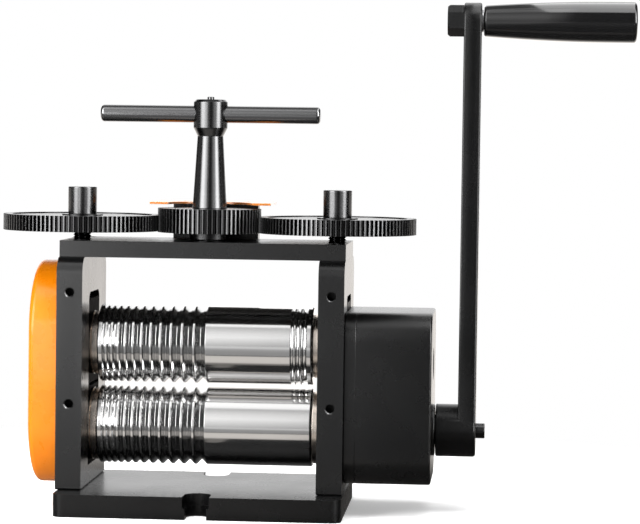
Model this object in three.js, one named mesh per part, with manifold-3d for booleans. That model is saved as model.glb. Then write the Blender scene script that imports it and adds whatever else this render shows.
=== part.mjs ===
// Hand-cranked jewellers rolling mill, in millimetres.
// +X runs along the rolls towards the crank, +Y away from the operator, +Z up.
// The origin is on the bench, midway between the uprights, under the axes of the rolls.
import * as THREE from "three";
import { mergeVertices } from "three/addons/utils/BufferGeometryUtils.js";
import Module from "manifold-3d";

const wasm = await Module();
wasm.setup();

// Clearances shared by all the fits
const FIT = 0.3; // radial gap between a shaft and its bore, and between other seated faces
const OVERRUN = 2; // how far a cutting tool runs past the face that it cuts

// Rolls
const ROLL_DIAMETER = 52;
const ROLL_CHAMFER = 0.8;
const ROLL_AXIS_HEIGHT = 53.4; // lower roll above the bench
const ROLL_OPENING = 2.15; // gap between the rolls as the photograph has it
const LEAST_OPENING = 0.1;
const GREATEST_OPENING = 5.5;
const ROLL_END_PLAY = 0.3;
const JOURNAL_DIAMETER = 30;
const ROLL_SIDES = 16;

// Grooves for square wire, on both rolls, growing away from the left end
const WIRE_GROOVES = 12;
const SMALLEST_WIRE = 1.5;
const LARGEST_WIRE = 5;
const WIRE_LAND = 1.22; // plain band between two grooves
const FIRST_LAND = 3.2; // plain band at the left end
const FLAT_LENGTH = 55; // plain part of the upper roll
const FLAT_LEAD = 0.8; // plain band between the last wire groove and the flat

// Grooves for half-round wire, on the upper roll only
const HALF_ROUND_WIDTHS = [2.5, 3, 4];
const HALF_ROUND_LAND = 0.8;
const LAST_LAND = 3.326; // plain band at the right end

// Bearing blocks and flanged bushings
const BLOCK_WIDTH = 43.4; // along Y
const BLOCK_FOOT = 26; // lower block, from its foot to the roll's axis
const BLOCK_HEAD = 30; // upper block, from the roll's axis to its top
const BLOCK_BEVEL = 4.5; // upper block, where it passes the window's corners
const BUSHING_WALL = 3;
const BUSHING_FLANGE = 5.45;
const UPPER_FLANGE_DIAMETER = 42;
const LOWER_FLANGE_DIAMETER = 48;
const PAD_DIAMETER = 15;
const PAD_THICKNESS = 5;

// Return springs between the blocks
const SPRING_SPACING = 32; // from the front spring to the back one
const SPRING_DIAMETER = 5; // of the wire's centre line
const SPRING_WIRE = 1.2;
const SPRING_CURLS = 4;
const SPRING_POCKET = 9; // depth of the pocket in each block
const SPRING_POCKET_WALL = 0.6; // room round the spring

// Uprights
const UPRIGHT_THICKNESS = 16.9;
const UPRIGHT_DEPTH = 102.8;
const UPRIGHT_BRIDGE = 24.1; // metal above the window
const UPRIGHT_CORNER = 10.5;
const WINDOW_CORNER = 6;
const WINDOW_HEADROOM = 1.1; // left above the block when the rolls are fully open
const FRONT_HOLE_DIAMETER = 5.6;
const FRONT_HOLE_CHAMFER = 1;
const FRONT_HOLE_DEPTH = 16;
const FRONT_HOLE_LOW = 17.3; // above the lower roll's axis
const FRONT_HOLE_PITCH = 72.7;

// Base
const BASE_SETBACK = 0.9; // the base is this much shorter than the frame over its uprights
const BASE_SHIFT = 1.3; // the base sits a little to the right of the uprights
const BASE_FRONT = 74.6; // in front of the rolls' axes
const BASE_BACK = 60.2; // behind them
const BASE_THICKNESS = 14.6;
const BASE_CORNER = 7;
const BASE_BEVEL = 0.8;
const BASE_SCREW_LEDGE = 5.4; // metal over the heads of its screws
const BENCH_SLOT_WIDTH = 14;
const BENCH_SLOT_REACH = 20; // from the edge of the base to the end of the slot
const BENCH_POCKET_WIDTH = 17.4;
const BENCH_POCKET_DEPTH = 7.5;

// Top plate
const TOP_THICKNESS = 10.7;
const TOP_FRONT = 40.9;
const TOP_BACK = 38;
const TOP_BEVEL = 0.5;
const TOP_SCREW_SINK = 6.6; // depth of the counterbores of its screws

// Roll gap adjustment
const SIDE_TEETH = 103;
const CENTRE_TEETH = 67;
const ADJUST_ADDENDUM = 0.75; // of one module
const ADJUST_DEDENDUM = 1.4; // down to the sharp bottom between two teeth
const SIDE_GEAR_THICKNESS = 10.6;
const CENTRE_GEAR_THICKNESS = 16;
const CENTRE_GEAR_STANDOFF = 5.2; // above the top plate
const SIDE_BOSS_DIAMETER = 16.6;
const SIDE_BOSS_THICKNESS = 1.6;
const SIDE_BOSS_ROOM = 1.95; // left under the boss with the rolls closed
const ADJUST_SCREW_DIAMETER = 12;
const POST_DIAMETER = 19.2;
const POST_HEIGHT = 18.3;
const POST_SOCKET = 12; // how far the screw reaches into the post
const POST_CHAMFER = 0.8;

// T-handle
const SPINDLE_SEAT_DIAMETER = 16;
const SPINDLE_PIN_DIAMETER = 12;
const SPINDLE_FOOT_DIAMETER = 23;
const SPINDLE_NECK_DIAMETER = 17.2;
const SPINDLE_CONE_HEIGHT = 48;
const SPINDLE_SHOULDER = 4.6;
const SPINDLE_HEAD_DIAMETER = 22.7;
const SPINDLE_HEAD_HEIGHT = 19.6;
const SPINDLE_CHAMFER = 1.6;
const SPINDLE_RING_THICKNESS = 2;
const SPINDLE_RING_WIDTH = 2.4;
const SPINDLE_RECESS_DEPTH = 4.6; // in the plate's underside, for the ring and the pin's end
const SPINDLE_RECESS_WALL = 1; // room round the ring
const CENTRE_HUB_DIAMETER = 26;
const TEE_BAR_DIAMETER = 11.3;
const TEE_BAR_LENGTH = 146.4;
const TEE_BAR_ROUND = 2.2;
const TEE_BAR_DROP = 9.8; // from the top of the head to the bar
const TEE_SCREW_DIAMETER = 4.6;
const TEE_SCREW_STAND = 1.8;
const BUSH_WALL = 2.5;

// Guard over the mesh of the adjusting gears
const GUARD_LENGTH = 81.2;
const GUARD_FRONT = 2;
const GUARD_THICKNESS = 1.6;
const GUARD_CUTOUT_RADIUS = 28;
const GUARD_CORNER = 4;
const GUARD_ROOM = 2.2; // above the centre gear
const BRACKET_LENGTH = 58;
const BRACKET_SCREW_SPACING = 34.8;
const GUARD_SCREW_SPACING = 44;
const BRACKET_THICKNESS = 12;

// Coupling gears and their cover, on the left
const COUPLING_TEETH = 16;
const COUPLING_THICKNESS = 12;
const COUPLING_OVERLAP = 0.85; // how far the teeth still reach in with the rolls fully open
const COUPLING_ROOT_ROOM = 0.5;
const COUPLING_BACKLASH = 1;
const COUPLING_STANDOFF = 1.6; // from the upright to the gears
const SHAFT_END_DIAMETER = 22;
const END_BOLT_HEAD_DIAMETER = 26; // holds its gear on the end of the shaft
const END_BOLT_HEAD_HEIGHT = 2.4;
const COVER_THICKNESS = 19.5;
const COVER_DEPTH = 94;
const COVER_RISE = 7.6; // its round ends are this far above the axes of the rolls
const COVER_WALL = 2.5;
const COVER_EDGE = 4;
const COVER_SCREW_INSET = 9;

// Gearbox, on the right
const BOX_FLANGE_THICKNESS = 7.8;
const BOX_LENGTH = 48.9; // of the housing, without the flange
const BOX_DEPTH = 94;
const BOX_WALL = 4;
const BOX_CORNER = 19;
const BOX_BEVEL = 1.4;
const BOX_GEAR_ROOM = 1.2; // between the gears and the walls over and under them
const LAYSHAFT_DISTANCE = 44; // from the crank's axis
const CRANK_PINION_TEETH = 16;
const LAYSHAFT_GEAR_TEETH = 28;
const LAYSHAFT_PINION_TEETH = 18;
const OUTPUT_GEAR_TEETH = 26;
const OUTPUT_GEAR_THICKNESS = 12;
const LAYSHAFT_GEAR_THICKNESS = 10;
const GEAR_BACKLASH = 0.35;
const GEAR_SIDE_ROOM = 2; // along the shafts, between a gear and what it passes
const LAYSHAFT_DIAMETER = 18;
const LAYSHAFT_END_DIAMETER = 12;
const LAYSHAFT_SHOULDER_DIAMETER = 22;
const LAYSHAFT_BEARING = 5; // length of each of its bearings
const LAYSHAFT_POCKET_DIAMETER = 21.5;
const LAYSHAFT_POCKET_DEPTH = 1.5;
const CRANK_BOSS_DIAMETER = 34;
const CRANK_BOSS_STAND = 1.5;
const BUSH_BOSS_WALL = 4;
const BOX_SCREW_INSET = 13; // from the box's faces to the screws that hold it on the upright
const BOX_SCREW_BOSS_WIDTH = 12;
const BOX_SCREW_BOSS_LENGTH = 16;

// Crank
const CRANK_SHAFT_DIAMETER = 20;
const CRANK_HUB_DIAMETER = 34.7;
const CRANK_HUB_LENGTH = 26.4;
const CRANK_HUB_GAP = 0.6;
const CRANK_HUB_ROUND = 1.6;
const CRANK_HUB_END = 5; // metal at the closed end of the hub
const CRANK_THROW = 270.6;
const CRANK_ARM_THICKNESS = 11.7;
const CRANK_ARM_ROOT = 31.4; // width where the arm leaves the hub
const CRANK_ARM_TIP = 24;
const CRANK_ARM_BEVEL = 1.1;

// Grip, which turns on its bolt
const GRIP_LENGTH = 100;
const GRIP_NECK_DIAMETER = 20.9;
const GRIP_DIAMETER = 27.4; // at its far end
// Swell of the grip: share of its length, and of the step from its neck to its far end
const GRIP_SWELL = [
  [0.22, 0.43],
  [0.45, 0.78],
  [0.63, 0.945],
  [0.8, 0.995],
];
const GRIP_ROUND = 2.4;
const GRIP_BOLT_DIAMETER = 12;
const GRIP_BOLT_HEAD_DIAMETER = 18;
const GRIP_BOLT_HEAD_HEIGHT = 8;
const GRIP_WASHER_DIAMETER = 15;
const GRIP_WASHER_THICKNESS = 1.4;
const GRIP_NUT_FLATS = 18;
const GRIP_NUT_THICKNESS = 10.8;
const GRIP_BOLT_SETBACK = 5; // of its head inside the grip's end

// Socket head screws: shank and head sizes
const M4 = { shank: 4, head: 7, headHeight: 4 };
const M5 = { shank: 5, head: 8.5, headHeight: 5 };
const M6 = { shank: 6, head: 10, headHeight: 6 };
const M8 = { shank: 8, head: 13, headHeight: 8 };
const SCREW_SPACING = 56; // across the uprights, for the screws of the base and the top plate
const SCREW_GRIP = 12; // how far a screw goes into its tapped hole
const SHAFT_FLAT = 2; // depth of the flat that turns a gear or the crank with its shaft

// Places that follow from the sizes above
const lowerAxis = ROLL_AXIS_HEIGHT;
const upperAxis = lowerAxis + ROLL_DIAMETER + ROLL_OPENING;
const travelDown = ROLL_OPENING - LEAST_OPENING;
const travelUp = GREATEST_OPENING - ROLL_OPENING;
const rollRadius = ROLL_DIAMETER / 2;
const wireWidths = Array.from({ length: WIRE_GROOVES }, (_, i) => {
  const share = WIRE_GROOVES > 1 ? i / (WIRE_GROOVES - 1) : 0;
  return (SMALLEST_WIRE + (LARGEST_WIRE - SMALLEST_WIRE) * share) * Math.SQRT2;
});
const sum = (values) => values.reduce((total, value) => total + value, 0);
const wireLength = sum(wireWidths) + (WIRE_GROOVES - 1) * WIRE_LAND;
const halfRoundLength = sum(HALF_ROUND_WIDTHS) + (HALF_ROUND_WIDTHS.length - 1) * HALF_ROUND_LAND;
const rollLength = FIRST_LAND + wireLength + FLAT_LEAD + FLAT_LENGTH + halfRoundLength + LAST_LAND;
const rollEnd = rollLength / 2;
const flatStart = -rollEnd + FIRST_LAND + wireLength + FLAT_LEAD;
const innerFace = rollEnd + ROLL_END_PLAY + BUSHING_FLANGE;
const outerFace = innerFace + UPRIGHT_THICKNESS;
const screwX = (innerFace + outerFace) / 2;
const baseLength = 2 * outerFace - BASE_SETBACK;
const windowBottom = lowerAxis - BLOCK_FOOT;
const windowTop = upperAxis + BLOCK_HEAD + travelUp + WINDOW_HEADROOM;
const windowHalf = BLOCK_WIDTH / 2 + FIT;
const uprightTop = windowTop + UPRIGHT_BRIDGE;
const topPlateTop = uprightTop + TOP_THICKNESS;
const adjustModule = (2 * screwX) / (SIDE_TEETH + CENTRE_TEETH);
const centreGearBottom = topPlateTop + CENTRE_GEAR_STANDOFF;
const centreGearTop = centreGearBottom + CENTRE_GEAR_THICKNESS;
const sideBossBottom = topPlateTop + travelDown + SIDE_BOSS_ROOM;
const sideGearBottom = sideBossBottom + SIDE_BOSS_THICKNESS;
const sideGearTop = sideGearBottom + SIDE_GEAR_THICKNESS;
const guardBottom = centreGearTop + GUARD_ROOM;
const boxFlangeFace = outerFace + BOX_FLANGE_THICKNESS;
const boxEnd = boxFlangeFace + BOX_LENGTH;
const layshaftAxis = lowerAxis + LAYSHAFT_DISTANCE;
const inputModule = (2 * LAYSHAFT_DISTANCE) / (CRANK_PINION_TEETH + LAYSHAFT_GEAR_TEETH);
const outputModule = (2 * LAYSHAFT_DISTANCE) / (LAYSHAFT_PINION_TEETH + OUTPUT_GEAR_TEETH);
const layshaftGearRadius = inputModule * (LAYSHAFT_GEAR_TEETH / 2 + 1);
const outputGearRadius = outputModule * (OUTPUT_GEAR_TEETH / 2 + 1);
const boxTop = layshaftAxis + layshaftGearRadius + BOX_GEAR_ROOM + BOX_WALL;
const boxBottom = lowerAxis - outputGearRadius - BOX_GEAR_ROOM - BOX_WALL;
const outputGearStart = boxFlangeFace + GEAR_SIDE_ROOM;
const outputGearEnd = outputGearStart + OUTPUT_GEAR_THICKNESS;
const layshaftGearStart = outputGearEnd + END_BOLT_HEAD_HEIGHT + GEAR_SIDE_ROOM;
const layshaftGearEnd = layshaftGearStart + LAYSHAFT_GEAR_THICKNESS;
const bushBossStart = layshaftGearEnd + GEAR_SIDE_ROOM;
const boxInnerEnd = boxEnd - BOX_WALL;
const crankBossEnd = boxEnd + CRANK_BOSS_STAND;
const hubStart = crankBossEnd + CRANK_HUB_GAP;
const hubEnd = hubStart + CRANK_HUB_LENGTH;
const armStart = hubEnd - CRANK_ARM_THICKNESS;
const gripAxis = lowerAxis + CRANK_THROW;
const gripStart = hubEnd + GRIP_WASHER_THICKNESS;
const gripEnd = gripStart + GRIP_LENGTH;
const coverEnd = -(outerFace + COVER_THICKNESS);
const couplingStart = -(outerFace + COUPLING_STANDOFF);
const couplingEnd = couplingStart - COUPLING_THICKNESS;

// Materials, with the colours and finish of the photograph
const material = (color, roughness, metalness) =>
  new THREE.MeshStandardMaterial({ color, roughness, metalness, flatShading: true });
const blackPaint = material(0x2b2b2d, 0.45, 0.1);
const blackOxide = material(0x202022, 0.28, 0.7);
const gearSteel = material(0x303032, 0.4, 0.8);
const groundSteel = material(0xc8c8c8, 0.2, 1);
const machinedSteel = material(0x8e8f92, 0.35, 1);
const bronze = material(0xb89878, 0.3, 1);
const orangePaint = material(0xf0851a, 0.35, 0);
const blackPlastic = material(0x1a1a1b, 0.25, 0);
const springSteel = material(0x9a9a9e, 0.3, 1);

// Solids: making, joining and cutting

// A closed geometry as a solid
function toSolid(geometry) {
  const bare = geometry.index ? geometry.toNonIndexed() : geometry.clone();
  bare.deleteAttribute("normal");
  bare.deleteAttribute("uv");
  const merged = mergeVertices(bare, 1e-4);
  return new wasm.Manifold(
    new wasm.Mesh({
      numProp: 3,
      vertProperties: new Float32Array(merged.attributes.position.array),
      triVerts: new Uint32Array(merged.index.array),
    }),
  );
}

const join = (solids) => solids.reduce((whole, piece) => whole.add(piece));
const cut = (solid, tools) => tools.reduce((rest, tool) => rest.subtract(tool), solid);

// A solid as a named mesh
function part(name, solid, finish) {
  const { vertProperties, triVerts } = solid.getMesh();
  const geometry = new THREE.BufferGeometry();
  geometry.setAttribute("position", new THREE.BufferAttribute(vertProperties, 3));
  geometry.setIndex(new THREE.BufferAttribute(triVerts, 1));
  geometry.computeVertexNormals();
  const mesh = new THREE.Mesh(geometry, finish);
  mesh.name = name;
  return mesh;
}

// Number of sides that a round piece of this radius gets
function sidesFor(radius) {
  if (radius < 5) return 8;
  return radius < 11 ? 12 : 16;
}

// Radius of a bore whose flats clear a shaft of this radius
function boreFor(radius, sides = sidesFor(radius), gap = FIT) {
  return (radius + gap) / Math.cos(Math.PI / sides);
}

// Turns a geometry built along Y so that it runs along the named axis
function alongAxis(geometry, axis) {
  if (axis === "x") geometry.rotateZ(-Math.PI / 2);
  if (axis === "z") geometry.rotateX(Math.PI / 2);
  return geometry;
}

// Moves a geometry across the named axis: at holds its other two coordinates
function acrossAxis(geometry, axis, at) {
  if (axis === "x") geometry.translate(0, at[0], at[1]);
  if (axis === "y") geometry.translate(at[0], 0, at[1]);
  if (axis === "z") geometry.translate(at[0], at[1], 0);
  return geometry;
}

// A revolved solid: the profile holds [radius, place along the axis] from low to high
function turned(axis, profile, at = [0, 0], sides = 16) {
  const points = profile.map(([radius, along]) => new THREE.Vector2(radius, along));
  const geometry = alongAxis(new THREE.LatheGeometry(points, sides), axis);
  return toSolid(acrossAxis(geometry, axis, at));
}

// A plain round bar or hole
function round(axis, radius, from, to, at, sides = sidesFor(radius)) {
  const geometry = new THREE.CylinderGeometry(radius, radius, to - from, sides);
  geometry.translate(0, (from + to) / 2, 0);
  return toSolid(acrossAxis(alongAxis(geometry, axis), axis, at));
}

function block(x0, x1, y0, y1, z0, z1) {
  const geometry = new THREE.BoxGeometry(x1 - x0, y1 - y0, z1 - z0);
  geometry.translate((x0 + x1) / 2, (y0 + y1) / 2, (z0 + z1) / 2);
  return toSolid(geometry);
}

// Points of an arc, with angles in degrees
function arc(cx, cy, radius, from, to, steps) {
  const points = [];
  for (let i = 0; i <= steps; i += 1) {
    const angle = THREE.MathUtils.degToRad(from + ((to - from) * i) / steps);
    points.push(new THREE.Vector2(cx + radius * Math.cos(angle), cy + radius * Math.sin(angle)));
  }
  return points;
}

const corner = (x, y) => [new THREE.Vector2(x, y)];

// A rectangle whose lower and upper corners have their own radius, 0 for a sharp one
function roundedRectangle(x0, x1, y0, y1, lower, upper = lower, steps = 4) {
  const at = (cx, cy, radius, from) =>
    radius > 0 ? arc(cx, cy, radius, from, from + 90, steps) : corner(cx, cy);
  return [
    ...at(x1 - lower, y0 + lower, lower, 270),
    ...at(x1 - upper, y1 - upper, upper, 0),
    ...at(x0 + upper, y1 - upper, upper, 90),
    ...at(x0 + lower, y0 + lower, lower, 180),
  ];
}

// An outline extruded along Z or X: on X the outline holds Y and Z. A bevel keeps the outer size.
function extruded(axis, outline, from, to, bevel = 0, bevelSteps = 1) {
  const geometry = new THREE.ExtrudeGeometry(new THREE.Shape(outline), {
    depth: to - from - 2 * bevel,
    bevelEnabled: bevel > 0,
    bevelThickness: bevel,
    bevelSize: bevel,
    bevelOffset: -bevel,
    bevelSegments: bevelSteps,
    curveSegments: 1,
  });
  geometry.translate(0, 0, from + bevel);
  if (axis === "x") {
    const toX = new THREE.Matrix4().makeBasis(
      new THREE.Vector3(0, 1, 0),
      new THREE.Vector3(0, 0, 1),
      new THREE.Vector3(1, 0, 0),
    );
    geometry.applyMatrix4(toX);
  }
  return toSolid(geometry);
}

// A socket head screw: under its head at seat, pointing along the axis by direction (1 or -1)
function screw(axis, direction, size, seat, length, at) {
  const low = [
    [0, -length],
    [size.shank / 2, -length],
    [size.shank / 2, 0],
    [size.head / 2, 0],
    [size.head / 2, size.headHeight],
    [0, size.headHeight],
  ];
  const profile = direction < 0 ? low : low.map(([radius, along]) => [radius, -along]).reverse();
  return turned(
    axis,
    profile.map(([radius, along]) => [radius, seat + along]),
    at,
    8,
  );
}

// The hole for such a screw: its head's counterbore up to face, and its shank
function screwHole(axis, direction, size, seat, face, length, at) {
  const shankEnd = seat + direction * length;
  const headEnd = face - direction * OVERRUN;
  return join([
    round(axis, boreFor(size.shank / 2, 8), Math.min(seat, shankEnd), Math.max(seat, shankEnd), at, 8),
    round(axis, boreFor(size.head / 2, 8), Math.min(seat, headEnd), Math.max(seat, headEnd), at, 8),
  ]);
}

// Outline of a spur gear with involute flanks. A tooth is centred on toothAt, in radians.
function gearOutline(teeth, module, addendum, dedendum, backlash, toothAt) {
  const pitch = (teeth * module) / 2;
  const pressure = THREE.MathUtils.degToRad(20);
  const base = pitch * Math.cos(pressure);
  const involute = (angle) => Math.tan(angle) - angle;
  const halfTooth = (radius) => {
    const angle = Math.acos(Math.min(1, base / radius));
    const atPitch = (Math.PI * module) / 4 - backlash / 4;
    return atPitch / pitch + involute(pressure) - involute(angle);
  };
  const tip = pitch + addendum;
  const root = pitch - dedendum;
  const points = [];
  for (let i = 0; i < teeth; i += 1) {
    const middle = toothAt + (2 * Math.PI * i) / teeth;
    for (const [radius, side] of [[root, -1], [tip, -1], [tip, 1], [root, 1]]) {
      const angle = middle + side * halfTooth(radius);
      points.push(new THREE.Vector2(radius * Math.cos(angle), radius * Math.sin(angle)));
    }
  }
  return points;
}

// Outline of a gear with fine straight-sided teeth and sharp gaps. A tooth is centred on toothAt.
function fineGearOutline(teeth, module, addendum, dedendum, backlash, toothAt) {
  const pitch = (teeth * module) / 2;
  const halfPitch = (Math.PI * module) / 2;
  const halfTooth = halfPitch / 2 - backlash / 4;
  const halfTip = halfTooth - ((halfPitch - halfTooth) * addendum) / dedendum;
  const points = [];
  for (let i = 0; i < teeth; i += 1) {
    const middle = toothAt + (2 * Math.PI * i) / teeth;
    for (const [radius, side] of [
      [pitch - dedendum, -halfPitch],
      [pitch + addendum, -halfTip],
      [pitch + addendum, halfTip],
    ]) {
      const angle = middle + side / pitch;
      points.push(new THREE.Vector2(radius * Math.cos(angle), radius * Math.sin(angle)));
    }
  }
  return points;
}

const shifted = (points, x, y) => points.map((p) => new THREE.Vector2(p.x + x, p.y + y));

// The flat on the side of +Y of a seat, as the metal that it takes away from a shaft or leaves in a bore
function flat(shaftDiameter, from, to, axisHeight, gap = 0) {
  const depth = shaftDiameter / 2 - SHAFT_FLAT + gap;
  return block(from, to, depth, shaftDiameter, axisHeight - shaftDiameter, axisHeight + shaftDiameter);
}

// A bore with the flat that fits on the flat of its shaft
function flatBore(shaftDiameter, from, to, axisHeight, sides = sidesFor(shaftDiameter / 2)) {
  const bore = round("x", boreFor(shaftDiameter / 2, sides), from, to, [0, axisHeight], sides);
  return bore.subtract(flat(shaftDiameter, from - OVERRUN, to + OVERRUN, axisHeight, FIT));
}

// Frame

// The bench slot in an edge of the base: a through slot under a wider pocket for the bolt's head
function benchSlot(edge, direction) {
  const opening = (width, low) => {
    const radius = width / 2;
    const end = edge - direction * (BENCH_SLOT_REACH - BENCH_SLOT_WIDTH / 2);
    const from = direction > 0 ? 180 : 0;
    return extruded(
      "z",
      [
        ...arc(BASE_SHIFT, end, radius, from, from + 180, 6),
        ...corner(BASE_SHIFT + direction * radius, edge + direction * OVERRUN),
        ...corner(BASE_SHIFT - direction * radius, edge + direction * OVERRUN),
      ],
      low,
      BASE_THICKNESS + OVERRUN,
    );
  };
  return [
    opening(BENCH_SLOT_WIDTH, -OVERRUN),
    opening(BENCH_POCKET_WIDTH, BASE_THICKNESS - BENCH_POCKET_DEPTH),
  ];
}

const frameScrewPlaces = [-1, 1].flatMap((side) =>
  [-1, 1].map((end) => [side * screwX, (end * SCREW_SPACING) / 2]),
);
const baseScrewSeat = BASE_THICKNESS - BASE_SCREW_LEDGE;
const topScrewSeat = topPlateTop - TOP_SCREW_SINK;

function basePlate() {
  const outline = roundedRectangle(
    BASE_SHIFT - baseLength / 2,
    BASE_SHIFT + baseLength / 2,
    -BASE_FRONT,
    BASE_BACK,
    BASE_CORNER,
    BASE_CORNER,
    3,
  );
  const plate = extruded("z", outline, 0, BASE_THICKNESS, BASE_BEVEL);
  const holes = frameScrewPlaces.map((at) =>
    screwHole("z", 1, M8, baseScrewSeat, 0, BASE_THICKNESS - baseScrewSeat + OVERRUN, at),
  );
  return cut(plate, [...benchSlot(-BASE_FRONT, -1), ...benchSlot(BASE_BACK, 1), ...holes]);
}

function upright(side) {
  const inner = side * innerFace;
  const outer = side * outerFace;
  const outline = roundedRectangle(
    -UPRIGHT_DEPTH / 2,
    UPRIGHT_DEPTH / 2,
    BASE_THICKNESS,
    uprightTop,
    0,
    UPRIGHT_CORNER,
  );
  const window = roundedRectangle(-windowHalf, windowHalf, windowBottom, windowTop, 0, WINDOW_CORNER, 3);
  const low = Math.min(inner, outer);
  const high = Math.max(inner, outer);
  const front = -UPRIGHT_DEPTH / 2;
  const holeRadius = FRONT_HOLE_DIAMETER / 2;
  const tools = [extruded("x", window, low - OVERRUN, high + OVERRUN)];
  for (const height of [lowerAxis + FRONT_HOLE_LOW, lowerAxis + FRONT_HOLE_LOW + FRONT_HOLE_PITCH]) {
    const mouth = holeRadius + FRONT_HOLE_CHAMFER;
    tools.push(
      turned(
        "y",
        [
          [0, front - OVERRUN],
          [mouth, front - OVERRUN],
          [mouth, front],
          [holeRadius, front + FRONT_HOLE_CHAMFER],
          [holeRadius, front + FRONT_HOLE_DEPTH],
          [0, front + FRONT_HOLE_DEPTH],
        ],
        [side * screwX, height],
        8,
      ),
    );
  }
  for (const end of [-1, 1]) {
    const at = [side * screwX, (end * SCREW_SPACING) / 2];
    const bottomHole = boreFor(M8.shank / 2, 8);
    const topHole = boreFor(M6.shank / 2, 8);
    tools.push(round("z", bottomHole, BASE_THICKNESS - OVERRUN, BASE_THICKNESS + SCREW_GRIP + FIT, at, 8));
    tools.push(round("z", topHole, uprightTop - SCREW_GRIP - FIT, uprightTop + OVERRUN, at, 8));
  }
  const clearance = boreFor(ADJUST_SCREW_DIAMETER / 2);
  tools.push(round("z", clearance, windowTop - OVERRUN, uprightTop + OVERRUN, [side * screwX, 0]));
  if (side < 0) {
    for (const at of coverScrewPlaces) {
      tools.push(round("x", boreFor(M5.shank / 2, 8), outer - OVERRUN, outer + SCREW_GRIP + FIT, at, 8));
    }
  } else {
    for (const at of boxScrewPlaces) {
      tools.push(screwHole("x", 1, M6, inner + M6.headHeight + FIT, inner, UPRIGHT_THICKNESS + OVERRUN, at));
    }
  }
  return cut(extruded("x", outline, low, high), tools);
}

const bracketScrewPlaces = [-1, 1].map((side) => [
  (side * BRACKET_SCREW_SPACING) / 2,
  uprightTop + TOP_THICKNESS / 2,
]);

function topPlate() {
  const outline = roundedRectangle(-outerFace, outerFace, -TOP_FRONT, TOP_BACK, 0);
  const tools = frameScrewPlaces.map((at) =>
    screwHole("z", -1, M6, topScrewSeat, topPlateTop, topScrewSeat - uprightTop + OVERRUN, at),
  );
  for (const side of [-1, 1]) {
    const bore = boreFor(ADJUST_SCREW_DIAMETER / 2);
    tools.push(round("z", bore, uprightTop - OVERRUN, topPlateTop + OVERRUN, [side * screwX, 0]));
  }
  const spindleBore = boreFor(SPINDLE_PIN_DIAMETER / 2);
  tools.push(round("z", spindleBore, uprightTop - OVERRUN, topPlateTop + OVERRUN, [0, 0]));
  const recess = boreFor(SPINDLE_PIN_DIAMETER / 2 + SPINDLE_RING_WIDTH + SPINDLE_RECESS_WALL, 10);
  tools.push(round("z", recess, uprightTop - OVERRUN, uprightTop + SPINDLE_RECESS_DEPTH, [0, 0], 10));
  for (const at of bracketScrewPlaces) {
    tools.push(round("y", boreFor(M4.shank / 2, 8), TOP_BACK - SCREW_GRIP, TOP_BACK + OVERRUN, at, 8));
  }
  return cut(extruded("z", outline, uprightTop, topPlateTop, TOP_BEVEL), tools);
}

const baseScrew = (at) =>
  screw("z", 1, M8, baseScrewSeat, BASE_THICKNESS - baseScrewSeat + SCREW_GRIP, at);
const topPlateScrew = (at) =>
  screw("z", -1, M6, topScrewSeat, topScrewSeat - uprightTop + SCREW_GRIP, at);

// Bearing blocks, bushings, pads and return springs
const bushingRadius = JOURNAL_DIAMETER / 2 + FIT + BUSHING_WALL;
const springPlaces = [-1, 1].flatMap((side) =>
  [-1, 1].map((end) => [side * screwX, (end * SPRING_SPACING) / 2]),
);
const pocketRadius = (SPRING_DIAMETER + SPRING_WIRE) / 2 + SPRING_POCKET_WALL;
const lowerBlockTop = lowerAxis + rollRadius;
const upperBlockBottom = upperAxis - rollRadius;
const upperBlockTop = upperAxis + BLOCK_HEAD;

function bearingBlock(side, axisHeight, bottom, top, bevel, pocketFrom, pocketTo) {
  const low = Math.min(side * innerFace, side * outerFace);
  const high = Math.max(side * innerFace, side * outerFace);
  const half = BLOCK_WIDTH / 2;
  const outline = [
    ...corner(half, bottom),
    ...corner(half, top - bevel),
    ...corner(half - bevel, top),
    ...corner(bevel - half, top),
    ...corner(-half, top - bevel),
    ...corner(-half, bottom),
  ];
  const body = extruded("x", outline, low, high);
  const tools = [round("x", boreFor(bushingRadius), low - OVERRUN, high + OVERRUN, [0, axisHeight])];
  for (const at of springPlaces.filter(([x]) => x * side > 0)) {
    tools.push(round("z", pocketRadius, pocketFrom, pocketTo, at, 10));
  }
  return cut(body, tools);
}

const lowerBlock = (side) =>
  bearingBlock(
    side,
    lowerAxis,
    windowBottom,
    lowerBlockTop,
    FIT,
    lowerBlockTop - SPRING_POCKET,
    lowerBlockTop + OVERRUN,
  );

function upperBlock(side) {
  const body = bearingBlock(
    side,
    upperAxis,
    upperBlockBottom,
    upperBlockTop,
    BLOCK_BEVEL,
    upperBlockBottom - OVERRUN,
    upperBlockBottom + SPRING_POCKET,
  );
  const padBore = boreFor(PAD_DIAMETER / 2);
  return cut(body, [
    round("z", padBore, upperBlockTop - PAD_THICKNESS, upperBlockTop + OVERRUN, [side * screwX, 0]),
  ]);
}

function bushing(side, axisHeight, flangeDiameter) {
  const bore = boreFor(JOURNAL_DIAMETER / 2);
  const flangeEnd = rollEnd + ROLL_END_PLAY;
  const section = [
    [bore, flangeEnd],
    [flangeDiameter / 2, flangeEnd],
    [flangeDiameter / 2, innerFace],
    [bushingRadius, innerFace],
    [bushingRadius, outerFace],
    [bore, outerFace],
    [bore, flangeEnd],
  ];
  const profile = side > 0 ? section : section.map(([radius, along]) => [radius, -along]).reverse();
  return turned("x", profile, [0, axisHeight], 16);
}

const thrustPad = (side) =>
  round("z", PAD_DIAMETER / 2, upperBlockTop - PAD_THICKNESS, upperBlockTop, [side * screwX, 0]);

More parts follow.
